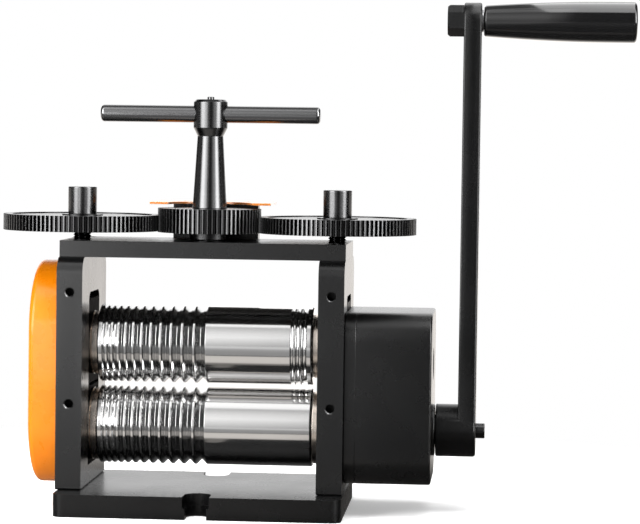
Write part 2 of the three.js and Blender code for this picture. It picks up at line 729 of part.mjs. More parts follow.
// A compression spring as one tube, with a flat last turn's worth of wire cut at each end
function spring(at) {
  const stepsPerCurl = 8;
  const sides = 4;
  const bottom = lowerBlockTop - SPRING_POCKET + FIT + SPRING_WIRE / 2;
  const top = upperBlockBottom + SPRING_POCKET - FIT - SPRING_WIRE / 2;
  const steps = SPRING_CURLS * stepsPerCurl;
  const positions = [];
  for (let i = 0; i <= steps; i += 1) {
    const angle = (2 * Math.PI * i) / stepsPerCurl;
    const height = bottom + ((top - bottom) * i) / steps;
    for (let j = 0; j < sides; j += 1) {
      const turn = (2 * Math.PI * j) / sides;
      const radius = SPRING_DIAMETER / 2 + (SPRING_WIRE / 2) * Math.cos(turn);
      positions.push(at[0] + radius * Math.cos(angle), at[1] + radius * Math.sin(angle));
      positions.push(height + (SPRING_WIRE / 2) * Math.sin(turn));
    }
  }
  const index = [];
  for (let i = 0; i < steps; i += 1) {
    for (let j = 0; j < sides; j += 1) {
      const a = i * sides + j;
      const b = i * sides + ((j + 1) % sides);
      index.push(a, b + sides, b, a, a + sides, b + sides);
    }
  }
  for (let j = 1; j < sides - 1; j += 1) {
    const last = steps * sides;
    index.push(0, j, j + 1, last, last + j + 1, last + j);
  }
  const geometry = new THREE.BufferGeometry();
  geometry.setAttribute("position", new THREE.Float32BufferAttribute(positions, 3));
  geometry.setIndex(index);
  return toSolid(geometry);
}

// Rolls

// Profile of the wire grooves, from the left end of the roll
function wireGrooves() {
  const points = [];
  let along = -rollEnd + FIRST_LAND;
  for (const width of wireWidths) {
    const bottom = rollRadius - width / 2;
    points.push([rollRadius, along], [bottom, along + width / 2], [rollRadius, along + width]);
    along += width + WIRE_LAND;
  }
  return points;
}

function halfRoundGrooves(start) {
  const points = [];
  let along = start;
  for (const width of HALF_ROUND_WIDTHS) {
    const steps = 3;
    for (let i = 0; i <= steps; i += 1) {
      const angle = (Math.PI * i) / steps;
      const middle = along + width / 2;
      points.push([rollRadius - (width / 2) * Math.sin(angle), middle - (width / 2) * Math.cos(angle)]);
    }
    along += width + HALF_ROUND_LAND;
  }
  return points;
}

const shaftEndRadius = SHAFT_END_DIAMETER / 2;
const journalRadius = JOURNAL_DIAMETER / 2;
const upperRollRightEnd = outerFace - FIT;

function roll(axisHeight, extraGrooves, rightEnd) {
  const profile = [
    [0, couplingEnd],
    [shaftEndRadius, couplingEnd],
    [shaftEndRadius, couplingStart],
    [journalRadius, couplingStart],
    [journalRadius, -rollEnd],
    [rollRadius - ROLL_CHAMFER, -rollEnd],
    [rollRadius, -rollEnd + ROLL_CHAMFER],
    ...wireGrooves(),
    ...extraGrooves,
    [rollRadius, rollEnd - ROLL_CHAMFER],
    [rollRadius - ROLL_CHAMFER, rollEnd],
    [journalRadius, rollEnd],
    ...rightEnd,
  ];
  return turned("x", profile, [0, axisHeight], ROLL_SIDES);
}

const endBoltHole = (from, to, axisHeight) =>
  round("x", boreFor(M6.shank / 2, 8), from, to, [0, axisHeight], 8);
const couplingFlat = (axisHeight) =>
  flat(SHAFT_END_DIAMETER, couplingEnd - OVERRUN, couplingStart, axisHeight);

function upperRoll() {
  const grooves = halfRoundGrooves(flatStart + FLAT_LENGTH);
  const solid = roll(upperAxis, grooves, [
    [journalRadius, upperRollRightEnd],
    [0, upperRollRightEnd],
  ]);
  return cut(solid, [
    couplingFlat(upperAxis),
    endBoltHole(couplingEnd - OVERRUN, couplingEnd + SCREW_GRIP, upperAxis),
  ]);
}

function lowerRoll() {
  const solid = roll(lowerAxis, [], [
    [journalRadius, outputGearStart],
    [shaftEndRadius, outputGearStart],
    [shaftEndRadius, outputGearEnd],
    [0, outputGearEnd],
  ]);
  return cut(solid, [
    couplingFlat(lowerAxis),
    flat(SHAFT_END_DIAMETER, outputGearStart, outputGearEnd + OVERRUN, lowerAxis),
    endBoltHole(couplingEnd - OVERRUN, couplingEnd + SCREW_GRIP, lowerAxis),
    endBoltHole(outputGearEnd - SCREW_GRIP, outputGearEnd + OVERRUN, lowerAxis),
  ]);
}

// A bolt whose wide head holds a gear on the end of its shaft
function endBolt(direction, face, axisHeight) {
  const size = { shank: M6.shank, head: END_BOLT_HEAD_DIAMETER, headHeight: END_BOLT_HEAD_HEIGHT };
  return screw("x", -direction, size, face, SCREW_GRIP - FIT, [0, axisHeight]);
}

// Coupling gears and their cover
const couplingTip = (ROLL_DIAMETER + GREATEST_OPENING) / 2 + COUPLING_OVERLAP;
const couplingRoot = ROLL_DIAMETER + LEAST_OPENING - couplingTip - COUPLING_ROOT_ROOM;

function couplingGear(axisHeight, toothAt) {
  const module = ROLL_DIAMETER / COUPLING_TEETH;
  const outline = gearOutline(
    COUPLING_TEETH,
    module,
    couplingTip - rollRadius,
    rollRadius - couplingRoot,
    COUPLING_BACKLASH,
    toothAt,
  );
  return cut(extruded("x", shifted(outline, 0, axisHeight), couplingEnd, couplingStart), [
    flatBore(SHAFT_END_DIAMETER, couplingEnd - OVERRUN, couplingStart + OVERRUN, axisHeight, 12),
  ]);
}

const coverLow = lowerAxis + COVER_RISE;
const coverHigh = upperAxis + COVER_RISE;
const coverScrewReach = COVER_DEPTH / 2 - COVER_SCREW_INSET;
const coverScrewPlaces = [-1, 1].flatMap((end) =>
  [coverLow, coverHigh].map((height) => [end * coverScrewReach, height]),
);
const coverScrewSeat = coverEnd + M5.headHeight + FIT;

function leftCover() {
  const capsule = (radius, steps) => [
    ...arc(0, coverHigh, radius, 0, 180, steps),
    ...arc(0, coverLow, radius, 180, 360, steps),
  ];
  const radius = COVER_DEPTH / 2;
  const rim = -outerFace;
  const low = coverLow - COVER_DEPTH;
  const high = coverHigh + COVER_DEPTH;
  const outer = cut(extruded("x", capsule(radius, 10), coverEnd, rim + 2 * COVER_EDGE, COVER_EDGE, 2), [
    block(rim, rim + 3 * COVER_EDGE, -COVER_DEPTH, COVER_DEPTH, low, high),
  ]);
  const hollow = extruded("x", capsule(radius - COVER_WALL, 7), coverEnd + COVER_WALL, rim + OVERRUN);
  const bossRadius = M5.head / 2 + FIT + 1.6;
  const bosses = coverScrewPlaces.map((at) => round("x", bossRadius, coverEnd + COVER_WALL / 2, rim, at, 8));
  const holes = coverScrewPlaces.map((at) =>
    screwHole("x", 1, M5, coverScrewSeat, coverEnd, rim - coverScrewSeat + OVERRUN, at),
  );
  return cut(join([cut(outer, [hollow]), ...bosses]), holes);
}

// Gearbox
const boxHalf = BOX_DEPTH / 2;
const boxOutline = (inset, steps = 5) =>
  roundedRectangle(
    -boxHalf + inset,
    boxHalf - inset,
    boxBottom + inset,
    boxTop - inset,
    BOX_CORNER - inset,
    BOX_CORNER - inset,
    steps,
  );
const boxScrewPlaces = [-1, 1].flatMap((end) =>
  [boxBottom + BOX_SCREW_INSET, boxTop - BOX_SCREW_INSET].map((height) => [
    end * (boxHalf - BOX_SCREW_INSET),
    height,
  ]),
);
const layshaftBore = boreFor(LAYSHAFT_END_DIAMETER / 2);
const flangeBearingStart = boxFlangeFace - LAYSHAFT_BEARING;
const endBearingStart = boxInnerEnd - LAYSHAFT_BEARING;
const crankBushRadius = CRANK_SHAFT_DIAMETER / 2 + FIT + BUSH_WALL;

function gearboxFlange() {
  const plate = extruded("x", boxOutline(0), outerFace, boxFlangeFace);
  const tools = [
    round("x", boreFor(journalRadius + FIT), outerFace - OVERRUN, boxFlangeFace + OVERRUN, [0, lowerAxis]),
    round("x", layshaftBore, flangeBearingStart, boxFlangeFace + OVERRUN, [0, layshaftAxis]),
  ];
  for (const at of boxScrewPlaces) {
    tools.push(round("x", boreFor(M6.shank / 2, 8), outerFace - OVERRUN, boxFlangeFace + OVERRUN, at, 8));
  }
  return cut(plate, tools);
}

function gearboxHousing() {
  const start = boxFlangeFace;
  const shell = cut(extruded("x", boxOutline(0), start - 2 * BOX_BEVEL, boxEnd, BOX_BEVEL), [
    block(start - 4 * BOX_BEVEL, start, -BOX_DEPTH, BOX_DEPTH, boxBottom - BOX_DEPTH, boxTop + BOX_DEPTH),
    extruded("x", boxOutline(BOX_WALL, 3), start - OVERRUN, boxInnerEnd),
  ]);
  const crankBoss = [
    round("x", crankBushRadius + FIT + BUSH_BOSS_WALL, bushBossStart, boxInnerEnd + 1, [0, lowerAxis]),
    round("x", CRANK_BOSS_DIAMETER / 2, boxEnd - 1, crankBossEnd, [0, lowerAxis], 16),
  ];
  const layshaftBoss = round("x", layshaftBore + BUSH_BOSS_WALL, endBearingStart, boxInnerEnd + 1, [
    0,
    layshaftAxis,
  ]);
  const bossEnd = start + BOX_SCREW_BOSS_LENGTH;
  const screwBosses = boxScrewPlaces.map(([y, z]) => {
    const reach = BOX_SCREW_BOSS_WIDTH / 2;
    const wall = Math.sign(y) * (boxHalf - BOX_WALL / 2);
    return block(start, bossEnd, Math.min(y - reach, wall), Math.max(y + reach, wall), z - reach, z + reach);
  });
  const tools = [
    round("x", boreFor(crankBushRadius), bushBossStart - OVERRUN, crankBossEnd + OVERRUN, [0, lowerAxis]),
    round("x", layshaftBore, endBearingStart - OVERRUN, boxInnerEnd, [0, layshaftAxis]),
    round("x", LAYSHAFT_POCKET_DIAMETER / 2, boxEnd - LAYSHAFT_POCKET_DEPTH, boxEnd + OVERRUN, [
      0,
      layshaftAxis,
    ]),
  ];
  for (const at of boxScrewPlaces) {
    tools.push(round("x", boreFor(M6.shank / 2, 8), start - OVERRUN, start + SCREW_GRIP + FIT, at, 8));
  }
  return cut(join([shell, ...crankBoss, layshaftBoss, ...screwBosses]), tools);
}

// A plain bush: a sleeve with its own bore
function bush(axis, shaftRadius, outerRadius, from, to, at) {
  return cut(round(axis, outerRadius, from, to, at), [
    round(axis, boreFor(shaftRadius), from - OVERRUN, to + OVERRUN, at),
  ]);
}

// A pinion cut on its shaft, or a gear before it is bored
function spurGear(teeth, module, from, to, axisHeight, toothAt) {
  const outline = gearOutline(teeth, module, module, 1.25 * module, GEAR_BACKLASH, toothAt);
  return extruded("x", shifted(outline, 0, axisHeight), from, to);
}

// In each pair the gear on the lower axis has a tooth straight up, and its mate a gap straight down
const up = Math.PI / 2;
const gapDown = (teeth) => -Math.PI / 2 + Math.PI / teeth;

function boredGear(teeth, module, from, to, axisHeight, toothAt, shaftDiameter, sides) {
  return cut(spurGear(teeth, module, from, to, axisHeight, toothAt), [
    flatBore(shaftDiameter, from - OVERRUN, to + OVERRUN, axisHeight, sides),
  ]);
}

function layshaft() {
  const end = LAYSHAFT_END_DIAMETER / 2;
  const seat = LAYSHAFT_DIAMETER / 2;
  const shoulder = LAYSHAFT_SHOULDER_DIAMETER / 2;
  const shaft = turned("x", [
    [0, flangeBearingStart + FIT],
    [end, flangeBearingStart + FIT],
    [end, boxFlangeFace + FIT],
    [shoulder, boxFlangeFace + FIT],
    [shoulder, layshaftGearStart],
    [seat, layshaftGearStart],
    [seat, layshaftGearEnd],
    [end, layshaftGearEnd],
    [end, boxInnerEnd - FIT],
    [0, boxInnerEnd - FIT],
  ], [0, layshaftAxis], 10);
  const pinion = spurGear(
    LAYSHAFT_PINION_TEETH,
    outputModule,
    outputGearStart,
    outputGearEnd,
    layshaftAxis,
    gapDown(LAYSHAFT_PINION_TEETH),
  );
  return cut(join([shaft, pinion]), [
    flat(LAYSHAFT_DIAMETER, layshaftGearStart, layshaftGearEnd + OVERRUN, layshaftAxis),
  ]);
}

function crankShaft() {
  const radius = CRANK_SHAFT_DIAMETER / 2;
  const shaft = turned("x", [
    [0, layshaftGearStart],
    [radius, layshaftGearStart],
    [radius, hubEnd - CRANK_HUB_END - FIT],
    [0, hubEnd - CRANK_HUB_END - FIT],
  ], [0, lowerAxis], 14);
  const pinion = spurGear(
    CRANK_PINION_TEETH,
    inputModule,
    layshaftGearStart,
    layshaftGearEnd,
    lowerAxis,
    up,
  );
  return cut(join([shaft, pinion]), [
    flat(CRANK_SHAFT_DIAMETER, hubStart, hubEnd, lowerAxis),
    endBoltHole(hubEnd - CRANK_HUB_END - SCREW_GRIP, hubEnd, lowerAxis),
  ]);
}

// Crank
function crankArm() {
  const radius = CRANK_HUB_DIAMETER / 2;
  const hub = turned("x", [
    [0, hubStart],
    [radius - CRANK_HUB_ROUND / 2, hubStart],
    [radius, hubStart + CRANK_HUB_ROUND / 2],
    [radius, hubEnd - CRANK_HUB_ROUND],
    [radius - CRANK_HUB_ROUND / 3, hubEnd - CRANK_HUB_ROUND / 3],
    [radius - CRANK_HUB_ROUND, hubEnd],
    [0, hubEnd],
  ], [0, lowerAxis], 16);
  const root = CRANK_ARM_ROOT / 2;
  const tip = CRANK_ARM_TIP / 2;
  const lean = THREE.MathUtils.radToDeg(Math.asin((root - tip) / CRANK_THROW));
  const outline = [
    ...arc(0, gripAxis, tip, lean, 180 - lean, 10),
    ...arc(0, lowerAxis, root, 180 - lean, 360 + lean, 12),
  ];
  const arm = extruded("x", outline, armStart, hubEnd, CRANK_ARM_BEVEL);
  return cut(join([hub, arm]), [
    flatBore(CRANK_SHAFT_DIAMETER, hubStart - OVERRUN, hubEnd - CRANK_HUB_END, lowerAxis, 14),
    round("x", boreFor(M6.shank / 2, 8), hubStart, hubEnd + OVERRUN, [0, lowerAxis], 8),
    round("x", boreFor(GRIP_BOLT_DIAMETER / 2), armStart - OVERRUN, hubEnd + OVERRUN, [0, gripAxis]),
  ]);
}

const gripBoltHeadStart = gripEnd - GRIP_BOLT_SETBACK - GRIP_BOLT_HEAD_HEIGHT;

function gripBolt() {
  const radius = GRIP_BOLT_DIAMETER / 2;
  const nutEnd = armStart - GRIP_NUT_THICKNESS;
  return turned("x", [
    [0, nutEnd],
    [radius - 1, nutEnd],
    [radius, nutEnd + 1],
    [radius, gripBoltHeadStart],
    [GRIP_BOLT_HEAD_DIAMETER / 2, gripBoltHeadStart],
    [GRIP_BOLT_HEAD_DIAMETER / 2, gripBoltHeadStart + GRIP_BOLT_HEAD_HEIGHT],
    [0, gripBoltHeadStart + GRIP_BOLT_HEAD_HEIGHT],
  ], [0, gripAxis], 14);
}

function gripNut() {
  const flats = arc(0, gripAxis, GRIP_NUT_FLATS / Math.sqrt(3), 90, 390, 5);
  return cut(extruded("x", flats, armStart - GRIP_NUT_THICKNESS, armStart, 1), [
    round("x", boreFor(GRIP_BOLT_DIAMETER / 2), armStart - 2 * GRIP_NUT_THICKNESS, armStart + OVERRUN, [
      0,
      gripAxis,
    ]),
  ]);
}

function grip() {
  const neck = GRIP_NECK_DIAMETER / 2;
  const end = GRIP_DIAMETER / 2;
  const at = (share) => gripStart + GRIP_LENGTH * share;
  const swell = new THREE.SplineCurve([
    new THREE.Vector2(neck, at(0.012)),
    ...GRIP_SWELL.map(([share, growth]) => new THREE.Vector2(neck + (end - neck) * growth, at(share))),
    new THREE.Vector2(end, gripEnd - GRIP_ROUND),
  ]);
  const boltBore = boreFor(GRIP_BOLT_DIAMETER / 2, 16);
  const headBore = boreFor(GRIP_BOLT_HEAD_DIAMETER / 2, 16);
  return turned("x", [
    [boltBore, gripStart],
    [neck - 1.2, gripStart],
    ...swell.getPoints(6).map((p) => [p.x, p.y]),
    [end - GRIP_ROUND * 0.3, gripEnd - GRIP_ROUND * 0.3],
    [end - GRIP_ROUND, gripEnd],
    [headBore, gripEnd],
    [headBore, gripBoltHeadStart - FIT],
    [boltBore, gripBoltHeadStart - FIT],
    [boltBore, gripStart],
  ], [0, gripAxis]);
}

// Roll gap adjustment: screws, gears and posts
function sideGear(side) {
  const centre = side * screwX;
  const toothAt = side < 0 ? 0 : Math.PI + Math.PI / SIDE_TEETH;
  const outline = fineGearOutline(
    SIDE_TEETH,
    adjustModule,
    ADJUST_ADDENDUM * adjustModule,
    ADJUST_DEDENDUM * adjustModule,
    GEAR_BACKLASH,
    toothAt,
  );
  return cut(
    join([
      extruded("z", shifted(outline, centre, 0), sideGearBottom, sideGearTop),
      round("z", SIDE_BOSS_DIAMETER / 2, sideBossBottom, sideGearBottom + 1, [centre, 0]),
    ]),
    [
      round("z", boreFor(ADJUST_SCREW_DIAMETER / 2), sideBossBottom - OVERRUN, sideGearTop + OVERRUN, [
        centre,
        0,
      ]),
    ],
  );
}

function adjustingScrew(side) {
  const radius = ADJUST_SCREW_DIAMETER / 2;
  return turned("z", [
    [0, upperBlockTop + FIT],
    [radius - 1, upperBlockTop + FIT],
    [radius, upperBlockTop + FIT + 1],
    [radius, sideGearTop + POST_SOCKET],
    [0, sideGearTop + POST_SOCKET],
  ], [side * screwX, 0], 14);
}

function gearPost(side) {
  const radius = POST_DIAMETER / 2;
  const top = sideGearTop + POST_HEIGHT;
  const socket = boreFor(ADJUST_SCREW_DIAMETER / 2, 16);
  const socketTop = sideGearTop + POST_SOCKET + FIT;
  return turned("z", [
    [socket, sideGearTop],
    [radius, sideGearTop],
    [radius, top - POST_CHAMFER],
    [radius - POST_CHAMFER, top],
    [0, top],
    [0, socketTop],
    [socket, socketTop],
    [socket, sideGearTop],
  ], [side * screwX, 0]);
}

// T-handle
const headTop = centreGearTop + SPINDLE_CONE_HEIGHT + SPINDLE_SHOULDER + SPINDLE_HEAD_HEIGHT;
const barHeight = headTop - TEE_BAR_DROP;
const spindleRingTop = uprightTop + SPINDLE_RECESS_DEPTH - FIT;
const spindleEnd = spindleRingTop - 2 * SPINDLE_RING_THICKNESS;

function teeSpindle() {
  const pin = SPINDLE_PIN_DIAMETER / 2;
  const foot = SPINDLE_FOOT_DIAMETER / 2;
  const neck = SPINDLE_NECK_DIAMETER / 2;
  const head = SPINDLE_HEAD_DIAMETER / 2;
  const neckTop = centreGearTop + SPINDLE_CONE_HEIGHT;
  const headBottom = neckTop + SPINDLE_SHOULDER;
  const solid = turned("z", [
    [0, spindleEnd],
    [pin - 0.8, spindleEnd],
    [pin, spindleEnd + 0.8],
    [pin, centreGearBottom - CENTRE_GEAR_STANDOFF + FIT],
    [SPINDLE_SEAT_DIAMETER / 2, centreGearBottom - CENTRE_GEAR_STANDOFF + FIT],
    [SPINDLE_SEAT_DIAMETER / 2, centreGearTop],
    [foot, centreGearTop],
    [neck, neckTop],
    [head - SPINDLE_CHAMFER / 3, headBottom],
    [head, headBottom + SPINDLE_CHAMFER / 2],
    [head, headTop - SPINDLE_CHAMFER],
    [head - SPINDLE_CHAMFER, headTop],
    [0, headTop],
  ]);
  const barBore = boreFor(TEE_BAR_DIAMETER / 2, 12);
  return cut(solid, [
    round("x", barBore, -SPINDLE_HEAD_DIAMETER, SPINDLE_HEAD_DIAMETER, [0, barHeight], 12),
    round("z", boreFor(TEE_SCREW_DIAMETER / 2, 8), barHeight, headTop + OVERRUN, [0, 0], 8),
  ]);
}

function teeBar() {
  const radius = TEE_BAR_DIAMETER / 2;
  const half = TEE_BAR_LENGTH / 2;
  const ends = [
    [0, 0],
    [radius - TEE_BAR_ROUND, 0],
    [radius - TEE_BAR_ROUND * 0.3, TEE_BAR_ROUND * 0.3],
    [radius, TEE_BAR_ROUND],
  ];
  return turned("x", [
    ...ends.map(([r, along]) => [r, along - half]),
    ...ends.map(([r, along]) => [r, half - along]).reverse(),
  ], [0, barHeight], 12);
}

const teeScrew = () =>
  round(
    "z",
    TEE_SCREW_DIAMETER / 2,
    barHeight + TEE_BAR_DIAMETER / 2 + FIT,
    headTop + TEE_SCREW_STAND,
    [0, 0],
    8,
  );

function centreGear() {
  const outline = fineGearOutline(
    CENTRE_TEETH,
    adjustModule,
    ADJUST_ADDENDUM * adjustModule,
    ADJUST_DEDENDUM * adjustModule,
    GEAR_BACKLASH,
    0,
  );
  const hubBottom = topPlateTop + FIT;
  return cut(
    join([
      extruded("z", outline, centreGearBottom, centreGearTop),
      round("z", CENTRE_HUB_DIAMETER / 2, hubBottom, centreGearBottom + 1, [0, 0]),
    ]),
    [
      round(
        "z",
        boreFor(SPINDLE_SEAT_DIAMETER / 2, 16),
        hubBottom - OVERRUN,
        centreGearTop + OVERRUN,
        [0, 0],
        16,
      ),
    ],
  );
}

const spindleRing = () =>
  bush(
    "z",
    SPINDLE_PIN_DIAMETER / 2,
    SPINDLE_PIN_DIAMETER / 2 + SPINDLE_RING_WIDTH,
    spindleRingTop - SPINDLE_RING_THICKNESS,
    spindleRingTop,
    [0, 0],
  );

// Guard over the gears
const bracketTop = guardBottom;
const guardBack = TOP_BACK + BRACKET_THICKNESS;
const guardScrewPlaces = [-1, 1].map((side) => [
  (side * GUARD_SCREW_SPACING) / 2,
  TOP_BACK + BRACKET_THICKNESS / 2,
]);
const bracketScrewSeat = TOP_BACK + BRACKET_THICKNESS - M4.headHeight - FIT;

function guardBracket() {
  const half = BRACKET_LENGTH / 2;
  const body = block(-half, half, TOP_BACK, guardBack, uprightTop, bracketTop);
  const tools = bracketScrewPlaces.map((at) =>
    screwHole("y", -1, M4, bracketScrewSeat, guardBack, BRACKET_THICKNESS + OVERRUN, at),
  );
  for (const at of guardScrewPlaces) {
    tools.push(round("z", boreFor(M4.shank / 2, 8), bracketTop - SCREW_GRIP, bracketTop + OVERRUN, at, 8));
  }
  return cut(body, tools);
}

function guardPlate() {
  const half = GUARD_LENGTH / 2;
  const outline = [
    ...corner(half, GUARD_FRONT),
    ...arc(half - GUARD_CORNER, guardBack - GUARD_CORNER, GUARD_CORNER, 0, 90, 3),
    ...arc(-half + GUARD_CORNER, guardBack - GUARD_CORNER, GUARD_CORNER, 90, 180, 3),
    ...corner(-half, GUARD_FRONT),
    ...arc(0, 0, GUARD_CUTOUT_RADIUS, 180 - guardLean, guardLean, 14),
  ];
  const holes = guardScrewPlaces.map((at) =>
    round("z", boreFor(M4.shank / 2, 8), bracketTop - OVERRUN, bracketTop + 2 * GUARD_THICKNESS, at, 8),
  );
  return cut(extruded("z", outline, bracketTop, bracketTop + GUARD_THICKNESS), holes);
}

const guardLean = THREE.MathUtils.radToDeg(Math.asin(GUARD_FRONT / GUARD_CUTOUT_RADIUS));

// The assembly: one group for each body that moves as a whole
const mill = new THREE.Group();
mill.name = "rolling_mill";

function body(...meshes) {
  const group = new THREE.Group();
  group.add(...meshes);
  mill.add(group);
  return group;
}

const SIDES = [["left", -1], ["right", 1]];
const ENDS = [["front", -1], ["back", 1]];

// One mesh for each of the four corners, named after its place
const corners = (name, make, finish) =>
  SIDES.flatMap(([sideName, side]) =>
    ENDS.map(([endName, end]) => part(`${name}_${endName}_${sideName}`, make(side, end), finish)),
  );
const screwAt = (side, end) => [side * screwX, (end * SCREW_SPACING) / 2];
const springAt = (side, end) => [side * screwX, (end * SPRING_SPACING) / 2];

// Frame, with all that stays still
body(
  part("base_plate", basePlate(), blackPaint),
  part("left_upright", upright(-1), blackPaint),
  part("right_upright", upright(1), blackPaint),
  part("top_plate", topPlate(), blackPaint),
  ...corners("base_screw", (side, end) => baseScrew(screwAt(side, end)), blackOxide),
  ...corners("top_plate_screw", (side, end) => topPlateScrew(screwAt(side, end)), blackOxide),
  part("lower_left_block", lowerBlock(-1), machinedSteel),
  part("lower_right_block", lowerBlock(1), machinedSteel),
  part("lower_left_bushing", bushing(-1, lowerAxis, LOWER_FLANGE_DIAMETER), bronze),
  part("lower_right_bushing", bushing(1, lowerAxis, LOWER_FLANGE_DIAMETER), bronze),
  ...corners("return_spring", (side, end) => spring(springAt(side, end)), springSteel),
  part("left_cover", leftCover(), orangePaint),
  part("gearbox_flange", gearboxFlange(), blackPaint),
  part("gearbox_housing", gearboxHousing(), blackPaint),
  part(
    "crank_bush",
    bush("x", CRANK_SHAFT_DIAMETER / 2, crankBushRadius, bushBossStart, crankBossEnd, [0, lowerAxis]),
    bronze,
  ),
  part("guard_bracket", guardBracket(), blackPaint),
  part("guard_plate", guardPlate(), orangePaint),
);

// T-handle with the centre gear
body(
  part("tee_spindle", teeSpindle(), blackOxide),
  part("tee_bar", teeBar(), blackOxide),
  part("tee_screw", teeScrew(), blackOxide),
  part("centre_gear", centreGear(), gearSteel),
  part("spindle_ring", spindleRing(), springSteel),
);

// Blocks that carry the upper roll
body(
  part("upper_left_block", upperBlock(-1), machinedSteel),
  part("upper_right_block", upperBlock(1), machinedSteel),
  part("upper_left_bushing", bushing(-1, upperAxis, UPPER_FLANGE_DIAMETER), bronze),
  part("upper_right_bushing", bushing(1, upperAxis, UPPER_FLANGE_DIAMETER), bronze),
  part("left_thrust_pad", thrustPad(-1), groundSteel),
  part("right_thrust_pad", thrustPad(1), groundSteel),
);

// Adjusting screws, each with its gear and post
for (const [name, side] of SIDES) {
  body(
    part(`${name}_adjusting_screw`, adjustingScrew(side), machinedSteel),
    part(`${name}_adjusting_gear`, sideGear(side), gearSteel),
    part(`${name}_gear_post`, gearPost(side), blackOxide),
  );
}

// Upper roll
body(
  part("upper_roll", upperRoll(), groundSteel),
  part("upper_coupling_gear", couplingGear(upperAxis, gapDown(COUPLING_TEETH)), gearSteel),
  part("upper_end_bolt", endBolt(-1, couplingEnd, upperAxis), blackOxide),
);

// Lower roll, with the output gear of the gearbox
body(
  part("lower_roll", lowerRoll(), groundSteel),
  part("lower_coupling_gear", couplingGear(lowerAxis, up), gearSteel),
  part(
    "output_gear",
    boredGear(
      OUTPUT_GEAR_TEETH,
      outputModule,
      outputGearStart,
      outputGearEnd,
      lowerAxis,
      up,
      SHAFT_END_DIAMETER,
      16,
    ),
    gearSteel,
  ),
  part("lower_end_bolt", endBolt(-1, couplingEnd, lowerAxis), blackOxide),
  part("output_end_bolt", endBolt(1, outputGearEnd, lowerAxis), blackOxide),
);

// Layshaft of the gearbox
body(
  part("layshaft", layshaft(), gearSteel),
  part(
    "layshaft_gear",
    boredGear(
      LAYSHAFT_GEAR_TEETH,
      inputModule,
      layshaftGearStart,
      layshaftGearEnd,
      layshaftAxis,
      gapDown(LAYSHAFT_GEAR_TEETH),
      LAYSHAFT_DIAMETER,
      14,
    ),
    gearSteel,
  ),
);

// Crank
body(
  part("crank_shaft", crankShaft(), machinedSteel),
  part("crank_arm", crankArm(), blackPaint),
  part("crank_screw", screw("x", -1, M6, hubEnd, CRANK_HUB_END + SCREW_GRIP - 1, [0, lowerAxis]), blackOxide),
  part("grip_bolt", gripBolt(), blackOxide),
  part("grip_nut", gripNut(), blackOxide),
  part(
    "grip_washer",
    bush("x", GRIP_BOLT_DIAMETER / 2, GRIP_WASHER_DIAMETER / 2, hubEnd, gripStart - FIT, [0, gripAxis]),
    machinedSteel,
  ),
);

// Grip, free to turn on its bolt
body(part("grip", grip(), blackPlastic));

export default mill;
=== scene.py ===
import math

import bmesh
import bpy
from bpy.props import FloatProperty, FloatVectorProperty, IntProperty, PointerProperty
from bpy.types import Operator, Panel, PropertyGroup
from mathutils import Matrix, Vector


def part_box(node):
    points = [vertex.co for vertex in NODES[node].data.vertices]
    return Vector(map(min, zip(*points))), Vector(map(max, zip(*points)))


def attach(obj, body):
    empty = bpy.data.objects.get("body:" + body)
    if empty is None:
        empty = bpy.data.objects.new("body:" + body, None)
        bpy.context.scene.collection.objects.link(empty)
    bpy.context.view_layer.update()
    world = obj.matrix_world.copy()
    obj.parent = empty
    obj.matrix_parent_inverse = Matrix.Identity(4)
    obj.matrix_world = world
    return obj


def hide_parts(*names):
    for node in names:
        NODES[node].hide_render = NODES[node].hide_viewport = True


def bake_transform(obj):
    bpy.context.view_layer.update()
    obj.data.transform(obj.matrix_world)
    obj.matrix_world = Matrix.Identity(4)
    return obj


bl_info = {
    "name": "Bench Rolling Mill",
    "version": (1, 0, 0),
    "blender": (4, 5, 0),
    "location": "3D View > Sidebar > Rolling Mill",
    "description": "Dresses the frame of a bench rolling mill with its visible pieces",
    "category": "Object",
}

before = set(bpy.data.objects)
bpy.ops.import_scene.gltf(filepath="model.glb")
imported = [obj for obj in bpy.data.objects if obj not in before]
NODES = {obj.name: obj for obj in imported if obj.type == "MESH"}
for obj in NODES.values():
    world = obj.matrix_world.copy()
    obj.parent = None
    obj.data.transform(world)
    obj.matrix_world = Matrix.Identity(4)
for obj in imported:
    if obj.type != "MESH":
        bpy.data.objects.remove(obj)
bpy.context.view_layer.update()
WHITE = (1, 1, 1, 1)
MM = 0.001  # pieces are drawn in millimetres and scaled to metres at the end
CREASE = math.radians(32)  # edges sharper than this stay sharp in the shading


# Sizes and colours that a user would change


def size_property(name, description, millimetres):
    """A length in metres, given by its default in millimetres."""
    return FloatProperty(
        name=name, description=description, default=millimetres * MM, min=0, unit="LENGTH"
    )


def count_property(name, description, count):
    return IntProperty(name=name, description=description, default=count, min=1)


def level_property(name, description, level):
    return FloatProperty(name=name, description=description, default=level, min=0)


def colour_property(name, description, value):
    return FloatVectorProperty(
        name=name, description=description, default=value, size=3, min=0, max=1, subtype="COLOR"
    )


class MillRolls(PropertyGroup):
    """Grooves of the rolls, as in the CAD model."""

    wire_grooves: count_property("Wire grooves", "Grooves for square wire", 12)
    smallest_wire: size_property("Smallest wire", "Side of the first groove's square", 1.5)
    largest_wire: size_property("Largest wire", "Side of the last groove's square", 5)
    land: size_property("Land", "Plain band between two wire grooves", 1.22)
    first_land: size_property("First land", "Plain band at the left end", 3.2)
    flat_lead: size_property("Flat lead", "Plain band before the flat", 0.8)
    flat_length: size_property("Flat length", "Plain part of the upper roll", 55)
    half_round_land: size_property("Half-round land", "Band between half-round grooves", 0.8)
    end_chamfer: size_property("End chamfer", "Chamfer at the rolls' ends", 0.8)


